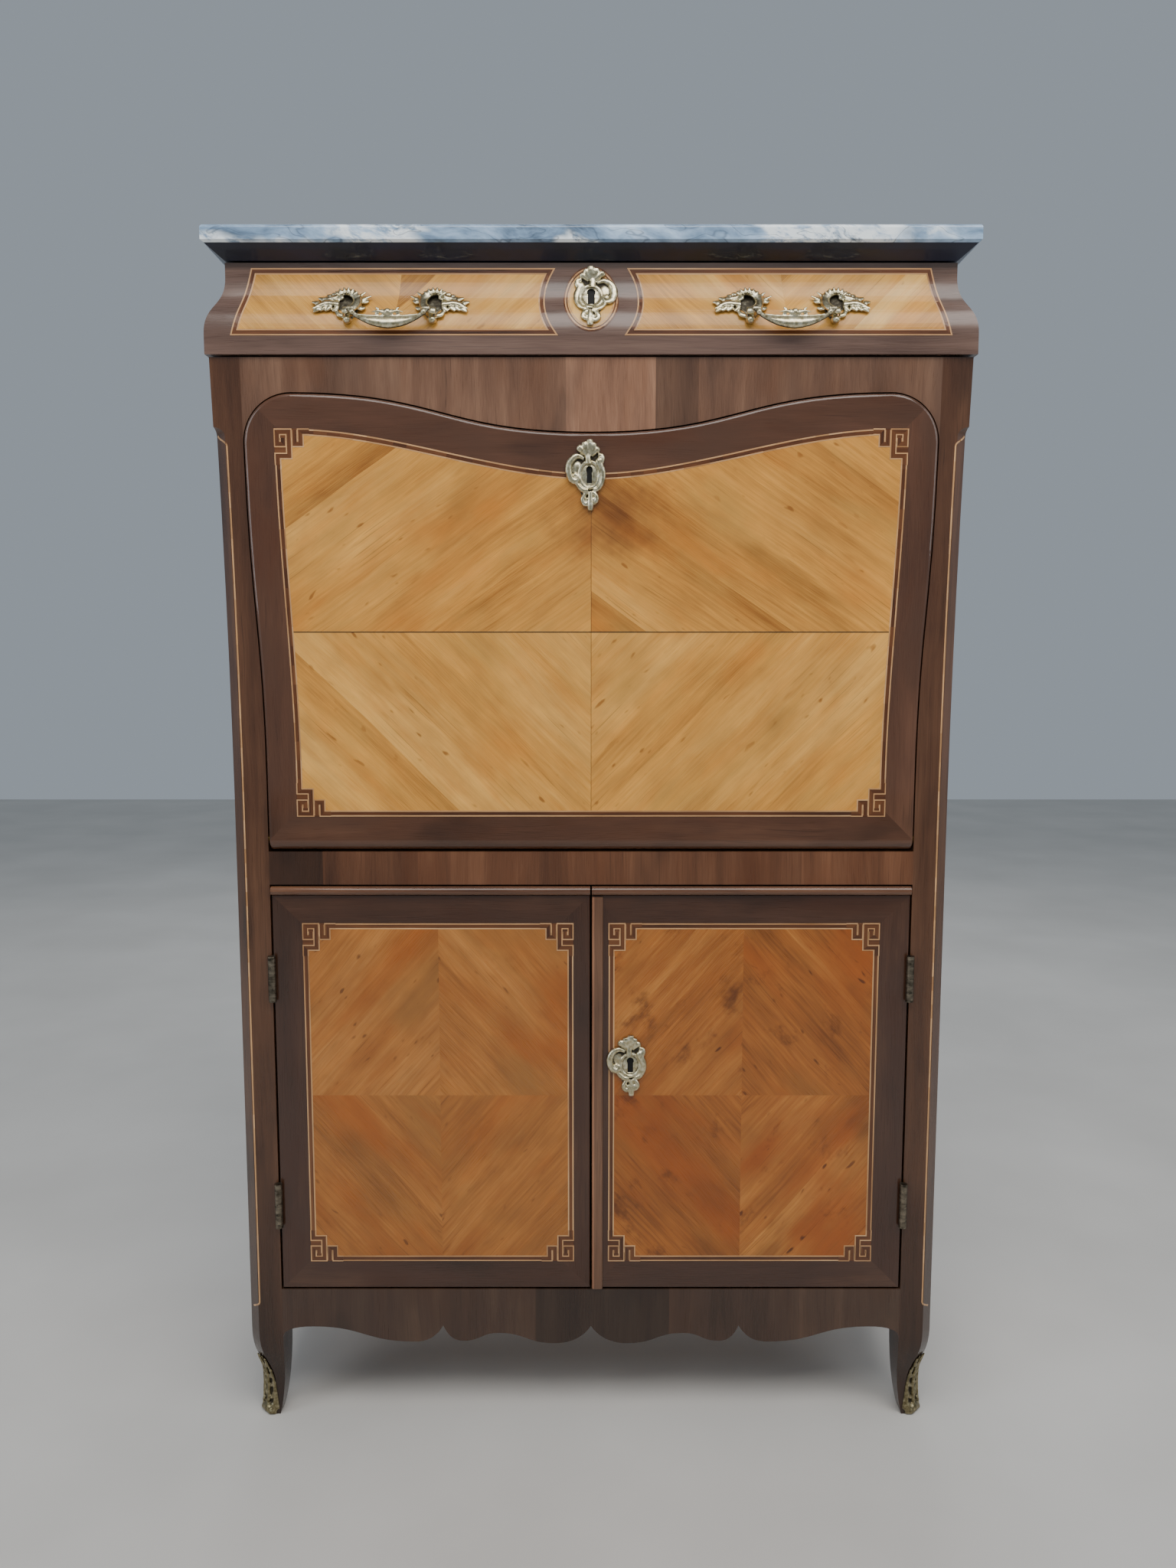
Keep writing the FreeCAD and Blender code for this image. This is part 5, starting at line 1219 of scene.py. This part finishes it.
# Keyholes, and the black backing behind each, which is a little larger and is painted shade for the
# depth of the hole.
KEYHOLE_RADIUS = 4.3 * MM
KEYHOLE_SLOT = 3.4 * MM
KEYHOLE_LONG = 14 * MM
KEYHOLE_DEEP = 12 * MM
KEYHOLE_RISE = (KEYHOLE_LONG - KEYHOLE_RADIUS) / 2
KEYHOLE_STEPS = 16
KEYHOLE_LIFT = 0.7 * MM
KEYHOLE_BACK_SHARES = (1.3, 1.15)


def keyhole_outline():
    """A round hole over a slot, from the right foot of the slot."""
    start = math.asin(KEYHOLE_SLOT / KEYHOLE_RADIUS) - math.pi / 2
    turns = steps(start, math.pi - start, KEYHOLE_STEPS)
    rounded = [(u, KEYHOLE_RISE + v) for u, v in ellipse((KEYHOLE_RADIUS, KEYHOLE_RADIUS), turns)]
    foot = KEYHOLE_RISE - KEYHOLE_LONG
    return [(KEYHOLE_SLOT, foot), *rounded, (-KEYHOLE_SLOT, foot)]


def keyhole_cutter():
    shape = bmesh.new()
    raise_face(shape, keyhole_outline(), -KEYHOLE_DEEP, KEYHOLE_DEEP)
    bmesh.ops.recalc_face_normals(shape, faces=shape.faces)
    cutter = linked("keyhole_cutter", bpy.data.meshes.new("keyhole_cutter"))
    shape.to_mesh(cutter.data)
    shape.free()
    return cutter


# An escutcheon in shares of half its height: shield, wings, plume and pendant.
ESCUTCHEON_GROUND_SHARES = ((0, 0.84), (-0.24, 0.6), (-0.5, 0.34), (-0.54, 0), (-0.32, -0.34), (-0.1, -0.75),
                            (0.1, -0.8), (0.24, -0.4), (0.42, -0.1), (0.4, 0.3), (0.22, 0.6), (0, 0.84))
SHIELD_SHARES = ((0, 0), (0.29, 0.33), 0.085)
RIM_THICK_SHARES = (0.045, 0.045)
RIM_RISE_SHARES = (0.05, 0.05)
RIM_STEPS = 14
# The left and the right wing, the left foot, then the left and the right curl under the shield: a path and
# its half widths.
WING_THICK_SHARES = (0.04, 0.085, 0.105, 0.1, 0.075, 0.05)
CURL_THICK_SHARES = (0.04, 0.07, 0.065, 0.045)
WING_SHARES = (
    (((-0.16, 0.4), (-0.36, 0.46), (-0.55, 0.34), (-0.62, 0.12), (-0.54, -0.1), (-0.4, -0.16),
      (-0.34, -0.06), (-0.42, 0)), WING_THICK_SHARES),
    (((0.26, 0.5), (0.37, 0.46), (0.36, 0.34), (0.27, 0.33), (0.32, 0.22), (0.39, 0.05), (0.38, -0.16),
      (0.27, -0.34), (0.12, -0.38)), WING_THICK_SHARES),
    (((-0.42, -0.1), (-0.34, -0.26), (-0.2, -0.38), (-0.04, -0.4)), (0.04, 0.07, 0.065)),
    (((-0.02, -0.42), (-0.14, -0.5), (-0.2, -0.64), (-0.12, -0.74), (-0.04, -0.68), (-0.08, -0.6)),
     CURL_THICK_SHARES),
    (((0.06, -0.42), (0.18, -0.5), (0.22, -0.62), (0.14, -0.7), (0.07, -0.64)), CURL_THICK_SHARES),
)
WING_RISE_SHARES = (0.06, 0.06)
WING_BOSS_SHARES = ((-0.36, 0.16), (0.17, 0.2), 0.07)
# Rounded petals of the plume over the shield, its neck, then the drop under it: a path and its half widths.
PLUME_SHARES = (
    (((0, 0.5), (0.01, 0.7), (0.01, 0.87)), (0.05, 0.09, 0.115, 0.1)),
    (((-0.05, 0.5), (-0.12, 0.68), (-0.15, 0.81)), (0.05, 0.08, 0.1, 0.085)),
    (((0.05, 0.5), (0.11, 0.66), (0.14, 0.79)), (0.05, 0.08, 0.095, 0.08)),
    (((-0.06, 0.47), (-0.21, 0.6), (-0.29, 0.66), (-0.33, 0.58)), (0.05, 0.085, 0.09, 0.06)),
    (((0.06, 0.47), (0.18, 0.58), (0.24, 0.62), (0.27, 0.55)), (0.05, 0.075, 0.08, 0.05)),
    (((-0.03, 0.26), (-0.04, 0.42), (-0.01, 0.56)), (0.1, 0.085, 0.06)),
    (((0.03, -0.42), (0.03, -0.68), (0.03, -0.9)), (0.07, 0.08, 0.1, 0.085)),
)
PLUME_RISE_SHARES = (0.06, 0.05)
BEAD_PLACE_SHARES = ((-0.42, 0), (0.29, 0.4), (-0.06, -0.62), (0.12, -0.62), (0, 0.36))
BEAD_SHARES = ((0.055, 0.055), 0.06, 0.05)


def escutcheon(name, body, seat, origin, high, flip):
    """A cartouche with a keyhole in its shield."""
    drawing = Casting(high / 2)
    drawing.ground(ESCUTCHEON_GROUND_SHARES)
    drawing.dome(*SHIELD_SHARES)
    rim = ellipse(SHIELD_SHARES[1], steps(0, math.tau, RIM_STEPS))
    drawing.stroke(rim, RIM_THICK_SHARES, RIM_RISE_SHARES)
    for strokes, rise in ((WING_SHARES, WING_RISE_SHARES), (PLUME_SHARES, PLUME_RISE_SHARES)):
        for path, thick in strokes:
            drawing.stroke(path, thick, rise)
    drawing.dome(*WING_BOSS_SHARES)
    for place in BEAD_PLACE_SHARES:
        drawing.dome(place, *BEAD_SHARES)
    cutter = keyhole_cutter()
    mount = drawing.cast(name, body, seat, origin, flip, cutter)
    bpy.data.objects.remove(cutter)
    # A black sheet behind the keyhole, painted shade for the hole's depth.
    keyhole_shade = Marquetry(f"{name}_keyhole", body, seat, shadow_black)
    wide, tall = KEYHOLE_BACK_SHARES
    keyhole_shade.lay([(origin[0] + u * wide, origin[1] + v * tall) for u, v in keyhole_outline()], MAIN,
             lift=KEYHOLE_LIFT)
    keyhole_shade.finished("gilt_brass")
    return mount


def plate_middle(node):
    """Middle of a plate across and up, and its height."""
    low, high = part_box(node)
    return ((low.x + high.x) / 2, (low.z + high.z) / 2), high.z - low.z


# Each: node, body, the panel it is on, how far its leafwork is moved from the plain plate's middle,
# how much larger it is than the plate, and how wide it is for its height, below zero when mirrored.
ESCUTCHEON_SHARES = (
    ("drawer_escutcheon", "drawer", "drawer_front", (0, 2.8 * MM), 1.22, -1.07),
    ("fall_escutcheon", "fall", "fall_board", (-2 * MM, 1 * MM), 1.14, 0.87),
    ("door_escutcheon", "right_door", "right_door_panel", (0, 0), 1.12, 0.96),
)
for node, body, panel, moved, spread_share, wide_share in ESCUTCHEON_SHARES:
    middle, high = plate_middle(node)
    origin = (middle[0] + moved[0], middle[1] + moved[1])
    mount = escutcheon(f"{node}_bronze", body, front_seat(panel), origin, high * spread_share, wide_share)
    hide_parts(node)

# The rows that follow give, for a stroke: path, half widths, heights and flatness; for a dome: place, half
# widths, rise and height; for a curl: middle, radius, start and sweep by degrees, half widths, what it
# shrinks to and heights; for a leaf: root, tip, half width, pairs of lobes, thickness, bend and height.

# Handle ends in shares of half a handle's length, from its middle: a ringed scroll that rises to the
# bail's pin, a boss and a ball under it, a horn towards the bail and a feathered tail.
HANDLE_HALF = 84 * MM
PIN_LEVEL = 1289 * MM
PIN_FRONT = -194.5 * MM
HANDLE_X = 217 * MM
HANDLE_GROUND_SHARES = ((0.64, 0.26), (0.5, 0.29), (0.4, 0.18), (0.43, 0), (0.54, -0.12), (0.6, 0),
                        (0.75, 0.08), (0.94, 0.05), (0.8, 0.17), (0.64, 0.26))
SCROLL_PLACE_SHARES = (0.572, 0.14)
RIDGE_TURNS = range(45, 175, 18)
RIDGE_PLACE_SHARES = (0.115, 0.155, 0.2)
RIDGE_SHARES = [("stroke", [Vector(SCROLL_PLACE_SHARES) + ray(turn) * share for share in RIDGE_PLACE_SHARES],
                 (0.012, 0.022, 0.012), (0.1, 0.1)) for turn in RIDGE_TURNS]
HANDLE_SHARES = (
    ("curl", SCROLL_PLACE_SHARES, 0.15, 40, 240, (0.03, 0.046, 0.056, 0.06, 0.058, 0.052, 0.05), 0.95,
     (0.03, 0.05, 0.06, 0.07, 0.1, 0.14, 0.12)),
    *RIDGE_SHARES,
    ("dome", (0.506, 0), (0.06, 0.06), 0.215),
    ("dome", (0.545, -0.105), (0.062, 0.056), 0.08, 0.05),
    ("stroke", ((0.6, -0.05), (0.66, -0.03), (0.7, 0.04)), (0.03, 0.034, 0.02), (0.04, 0.03)),
    ("leaf", (0.66, 0.12), (1, 0.05), 0.1, 4, 0.04, 0.05, 0.035),
    ("leaf", (0.62, 0.26), (0.84, 0.2), 0.07, 3, 0.034, -0.02, 0.035),
    ("leaf", (0.42, 0.03), (0.25, 0.235), 0.07, 2, 0.036, -0.05, 0.035),
    ("leaf", (0.44, 0.2), (0.33, 0.29), 0.05, 1, 0.03, 0, 0.035),
)


def handle_end(name, middle, flip):
    """One end of a handle, with the scroll that holds the bail."""
    drawing = Casting(HANDLE_HALF)
    drawing.ground(HANDLE_GROUND_SHARES)
    drawing.draw(HANDLE_SHARES)
    return drawing.cast(name, "drawer", front_seat("drawer_front"), (middle, PIN_LEVEL), flip)


ends = [handle_end(f"{side}_{end}_handle_end", way * HANDLE_X, way * hand)
        for side, way in SIDES for end, hand in (("outer", 1), ("inner", -1))]
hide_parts("handle_mounts")

# Bails: a swelling crescent with a moulded upper edge, a pin and a ball at each end, and a knot of leaves
# in its middle.
BAIL_HALF = 38 * MM
BAIL_SHARES = (
    ("stroke", ((-1.12, 0), (-0.98, -0.13), (-0.75, -0.26), (-0.4, -0.37), (0, -0.41), (0.4, -0.37),
                (0.75, -0.26), (0.98, -0.13), (1.12, 0)),
     (0.055, 0.06, 0.075, 0.115, 0.14, 0.115, 0.075, 0.06, 0.055), (0, 0), 0.75),
    ("stroke", ((-0.85, -0.19), (-0.45, -0.235), (0, -0.245), (0.45, -0.235), (0.85, -0.19)),
     (0.03, 0.042, 0.05, 0.042, 0.03), (0.06, 0.06)),
    ("both",
     ("stroke", ((0.96, 0), (1.08, 0), (1.18, 0)), (0.055, 0.052, 0.05)),
     ("leaf", (0.04, -0.17), (0.46, -0.13), 0.1, 2, 0.045, 0.05, 0.06),
     ("dome", (1, -0.1), (0.085, 0.085), 0.09)),
    ("dome", (0, -0.12), (0.11, 0.11), 0.12, 0.04),
)
for side, way in SIDES:
    drawing = Casting(BAIL_HALF)
    drawing.draw(BAIL_SHARES)
    bail = drawing.cast(f"{side}_bail_bronze", f"{side}_bail", Level(PIN_FRONT), (way * HANDLE_X, PIN_LEVEL))
    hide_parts(f"{side}_bail")

# Feet: a long leaf down the cant that ends in a rolled toe.
FOOT_HIGH = 78 * MM
FOOT_GROUND_SHARES = ((0, 0.95), (-0.1, 0.62), (-0.14, 0.3), (-0.15, 0.05), (0.15, 0.05), (0.14, 0.3),
                      (0.1, 0.62), (0, 0.95))
FOOT_SHARES = (
    ("both",
     ("stroke", ((0.17, 0.09), (0.15, 0.36), (0.13, 0.62), (0.03, 0.98)), (0.034, 0.032, 0.026, 0.014),
      (0.02, 0.02)),
     ("curl", (0.1, 0.1), 0.07, 90, -300, (0.03, 0.034, 0.02), 0.4, (0.03, 0.03))),
    ("leaf", (0, 0.16), (0, 0.97), 0.15, 4, 0.034, 0, 0.02),
    ("dome", (0, 0.085), (0.13, 0.08), 0.085),
    ("stroke", ((-0.17, 0.05), (0, 0.055), (0.17, 0.05)), (0.04, 0.05, 0.04), (0.03, 0.03)),
)
DIAGONAL = math.sqrt(1 / 2)
for side, way in SIDES:
    seat = Seat([f"{side}_front_post"], (way * DIAGONAL, DIAGONAL, 0), (way * DIAGONAL, -DIAGONAL, 0))
    middle = (CASE_HALF + DOOR_PLANE) * DIAGONAL
    drawing = Casting(FOOT_HIGH)
    drawing.ground(FOOT_GROUND_SHARES)
    drawing.draw(FOOT_SHARES)
    foot = drawing.cast(f"{side}_foot_bronze", "case", seat, (middle, 0), finish=foot_bronze)
    if way > 0:
        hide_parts("foot_mounts")

# Tooling on the leather. Each gilt line: how far in from the edge of the leather, and its width.
TOOLED_LINES = ((11 * MM, 1.8 * MM), (14.5 * MM, 0.7 * MM), (24.5 * MM, 0.7 * MM), (27 * MM, 1.2 * MM))
LOZENGE_INSET = 19.5 * MM
LOZENGE_SPACE = 13 * MM
LOZENGE_HALF = (3.6 * MM, 2.2 * MM)
TOOLING_LIFT = 0.12 * MM
tooling = Marquetry("leather_tooling", "fall", inner_seat("fall_leather"), gold_leaf)
for inset, width in TOOLED_LINES:
    tooling.line(framed("fall_leather", inset), width, MAIN, TOOLING_LIFT, closed=True)
lozenge_row = [Vector(corner) for corner in framed("fall_leather", LOZENGE_INSET)]
for start, end in zip(lozenge_row, lozenge_row[1:] + lozenge_row[:1]):
    way = (end - start).normalized()
    long_half = way * LOZENGE_HALF[0]
    wide_half = beside(way) * LOZENGE_HALF[1]
    count = round((end - start).length / LOZENGE_SPACE)
    for share in steps(0, 1, count)[1:]:
        place = start + (end - start) * share
        tooling.lay([place + long_half, place + wide_half, place - long_half, place - wide_half], MAIN,
                    lift=TOOLING_LIFT)
tooling.finished("gilt_brass")

# Fronts of the small drawers: two halves in a light line on a dark one twice as wide.
SMALL_INSET = 10 * MM
SMALL_WIDTHS = (3.2 * MM, 1.6 * MM)
SMALL_LIFTS = (0.26 * MM, 0.32 * MM)
SMALL_TURNS = (45, 135)
for side, _ in SIDES:
    front = f"{side}_small_drawer"
    work = Marquetry(f"{front}_marquetry", front, front_seat(front), honey, *LINES)
    corners = framed(front, SMALL_INSET)
    (left, low), (right, high) = corners[0], corners[2]
    for x, turn in zip((left, right), SMALL_TURNS):
        work.lay(rectangle((left + right) / 2, low, x, high), MAIN, turn)
    work.lines(corners, SMALL_WIDTHS, (DARK, LIGHT), SMALL_LIFTS, closed=True)
    work.finished()

# Linings of the doors: two upright sheets in a light line.
DOOR_INNER_INSET = 30 * MM
DOOR_INNER_LINE = 2 * MM
DOOR_INNER_LIFT = 0.26 * MM
for side, _ in SIDES:
    panel = f"{side}_door_panel"
    work = Marquetry(f"{side}_door_lining", f"{side}_door", inner_seat(panel), lining, light_line)
    corners = framed(panel, DOOR_INNER_INSET)
    (left, low), (right, high) = corners[0], corners[2]
    middle = (left + right) / 2
    for near, far in ((left, middle), (middle, right)):
        work.lay(rectangle(near, low, far, high), MAIN, UPRIGHT_TURN)
    work.line(corners, DOOR_INNER_LINE, LIGHT, DOOR_INNER_LIFT, closed=True)
    work.finished()

# Pins of the drawer's corner joints, wider inside, with their dark joint lines. Each layer: how much it
# is grown, its wood and its lift.
PIN_LONG = 13 * MM
PIN_HALF = (3.2 * MM, 6 * MM)
PIN_COUNT = 3
END_GRAIN, JOINT_LINE = range(2)
PIN_LAYERS = ((0.5 * MM, JOINT_LINE, 0.08 * MM), (0, END_GRAIN, 0.14 * MM))
for side, way in SIDES:
    board = f"drawer_{side}_side"
    low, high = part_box(board)
    work = Marquetry(f"{board}_joints", "drawer", side_seat(way, board), oak_end, dark_line)
    for end, inward in ((low.y, 1), (high.y, -1)):
        for level in steps(low.z, high.z, PIN_COUNT * 2)[1::2]:
            for grow, finish, lift in PIN_LAYERS:
                inner = end + inward * (PIN_LONG + grow)
                end_half, inner_half = [half + grow for half in PIN_HALF]
                work.lay([(end, level - end_half), (inner, level - inner_half), (inner, level + inner_half),
                          (end, level + end_half)], finish, lift=lift)
    work.finished("plain_oak")

# Heads of screws and nails: rings of half heads on both sides of a slot, in shares of the radius, and the
# turn from one slot to the next, in radians.
HEAD_RING_SHARES = ((1, -0.2), (1, 0.12), (0.84, 0.3), (0.5, 0.4))
HEAD_TURN = 0.7
RING_STEPS = 8


def heads(name, body, seat, finish, radius, slit, places):
    """Rounded metal heads on a face; slit is half the width of the cut across each."""
    shape = bmesh.new()
    for index, (u, v) in enumerate(places):
        along = Vector((math.cos(index * HEAD_TURN), math.sin(index * HEAD_TURN)))
        side = beside(along)
        for hand in (-1, 1):
            rings = []
            for wide_share, rise_share in HEAD_RING_SHARES:
                reach = radius * wide_share
                spots = [along * (math.cos(turn) * reach) + side * (hand * max(math.sin(turn) * reach, slit))
                         for turn in steps(0, math.pi, RING_STEPS)]
                rings.append([shape.verts.new(seat.at(u + spot.x, v + spot.y, rise_share * radius))
                              for spot in spots])
            skin(shape, rings)
    bmesh.ops.recalc_face_normals(shape, faces=shape.faces)
    return made_piece(name, shape, [finish], body)


SCREW_INSET = 6 * MM
SCREW_RADIUS = 3 * MM
SCREW_SLIT = 0.4 * MM
for lock, body in (("drawer_lock", "drawer"), ("fall_lock", "fall"), ("door_lock", "right_door")):
    places = framed(lock, SCREW_INSET)
    heads(f"{lock}_screws", body, inner_seat(lock), brass, SCREW_RADIUS, SCREW_SLIT, places)
NAIL_RADIUS = 3.2 * MM
NAIL_SPREAD_SHARES = (0.22, 0.78)
NAIL_LEVELS = (172 * MM, 560 * MM, 940 * MM, 1328 * MM)
back_low, back_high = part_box("back_panel")
board_wide = 1 / BOARD_RATE
board_edges = steps(back_low.x, back_high.x, round((back_high.x - back_low.x) / board_wide))[:-1]
nail_places = [(edge + board_wide * share, level)
               for edge in board_edges for share in NAIL_SPREAD_SHARES for level in NAIL_LEVELS]
heads("back_nails", "case", inner_seat("back_panel"), iron, NAIL_RADIUS, 0, nail_places)

# Studio: floor, soft light and the camera of the photograph, in metres.
FLOOR_HALF = 6
FLOOR_TONES = ((0.3, (196, 193, 188)), (0.7, (208, 205, 200)))
floor_finish = dusty("pale_floor", 2.5, 4, FLOOR_TONES, (0.2, 0.55), Specular_IOR_Level=0.2)
floor_mesh = bpy.data.meshes.new("studio_floor")
corners = [(*corner, 0) for corner in rectangle(-FLOOR_HALF, -FLOOR_HALF, FLOOR_HALF, FLOOR_HALF)]
floor_mesh.from_pydata(corners, [], [(0, 1, 2, 3)])
floor_mesh.materials.append(floor_finish.material)
floor = linked("studio_floor", floor_mesh)

# Each light: its place, what it is turned to, its width and height, its power and its colour.
LIGHTS = {
    "ceiling_light": ((0.3, -1.7, 2.9), (0, 0, 0.9), (2.6, 1.4), 62, (1, 0.97, 0.93)),
    "left_light": ((-2.6, -1.6, 1.7), (0, 0, 0.8), (1.4, 1.8), 24, (0.93, 0.96, 1)),
    "right_light": ((2.6, -1.4, 1.9), (0, 0, 0.8), (1.4, 1.8), 18, (0.96, 0.98, 1)),
    "back_light": ((0, 2.6, 2.6), (0, 0, 0.8), (2.4, 1.4), 26, (0.95, 0.97, 1)),
}
for name, (place, target, size, power, colour) in LIGHTS.items():
    lamp = bpy.data.lights.new(name, "AREA")
    lamp.shape = "RECTANGLE"
    lamp.size, lamp.size_y = size
    lamp.energy = power
    lamp.color = colour
    holder = linked(name, lamp)
    holder.location = place
    holder.rotation_euler = (Vector(target) - Vector(place)).to_track_quat("-Z", "Y").to_euler()

AIR_COLOUR = paint(196, 208, 220)
AIR_STRENGTH = 0.5
world = bpy.data.worlds.new("studio_air")
world.use_nodes = True
world.node_tree.nodes["Background"].inputs["Color"].default_value = AIR_COLOUR
world.node_tree.nodes["Background"].inputs["Strength"].default_value = AIR_STRENGTH
bpy.context.scene.world = world

# The camera's lens and sensor are in millimetres. It looks down from the level by degrees, and it is level
# when it is turned up from straight down by a right angle.
CAMERA_PLACE = (-3.5 * MM, -1497 * MM, 921.8 * MM)
CAMERA_DOWN = 6.26
CAMERA_LEVEL = 90
CAMERA_LENS = 27.035
SENSOR_WIDE = 36
camera_data = bpy.data.cameras.new("photo_camera")
camera_data.sensor_width = SENSOR_WIDE
camera_data.lens = CAMERA_LENS
camera = linked("photo_camera", camera_data)
camera.location = CAMERA_PLACE
camera.rotation_euler = (math.radians(CAMERA_LEVEL - CAMERA_DOWN), 0, 0)
bpy.context.scene.camera = camera
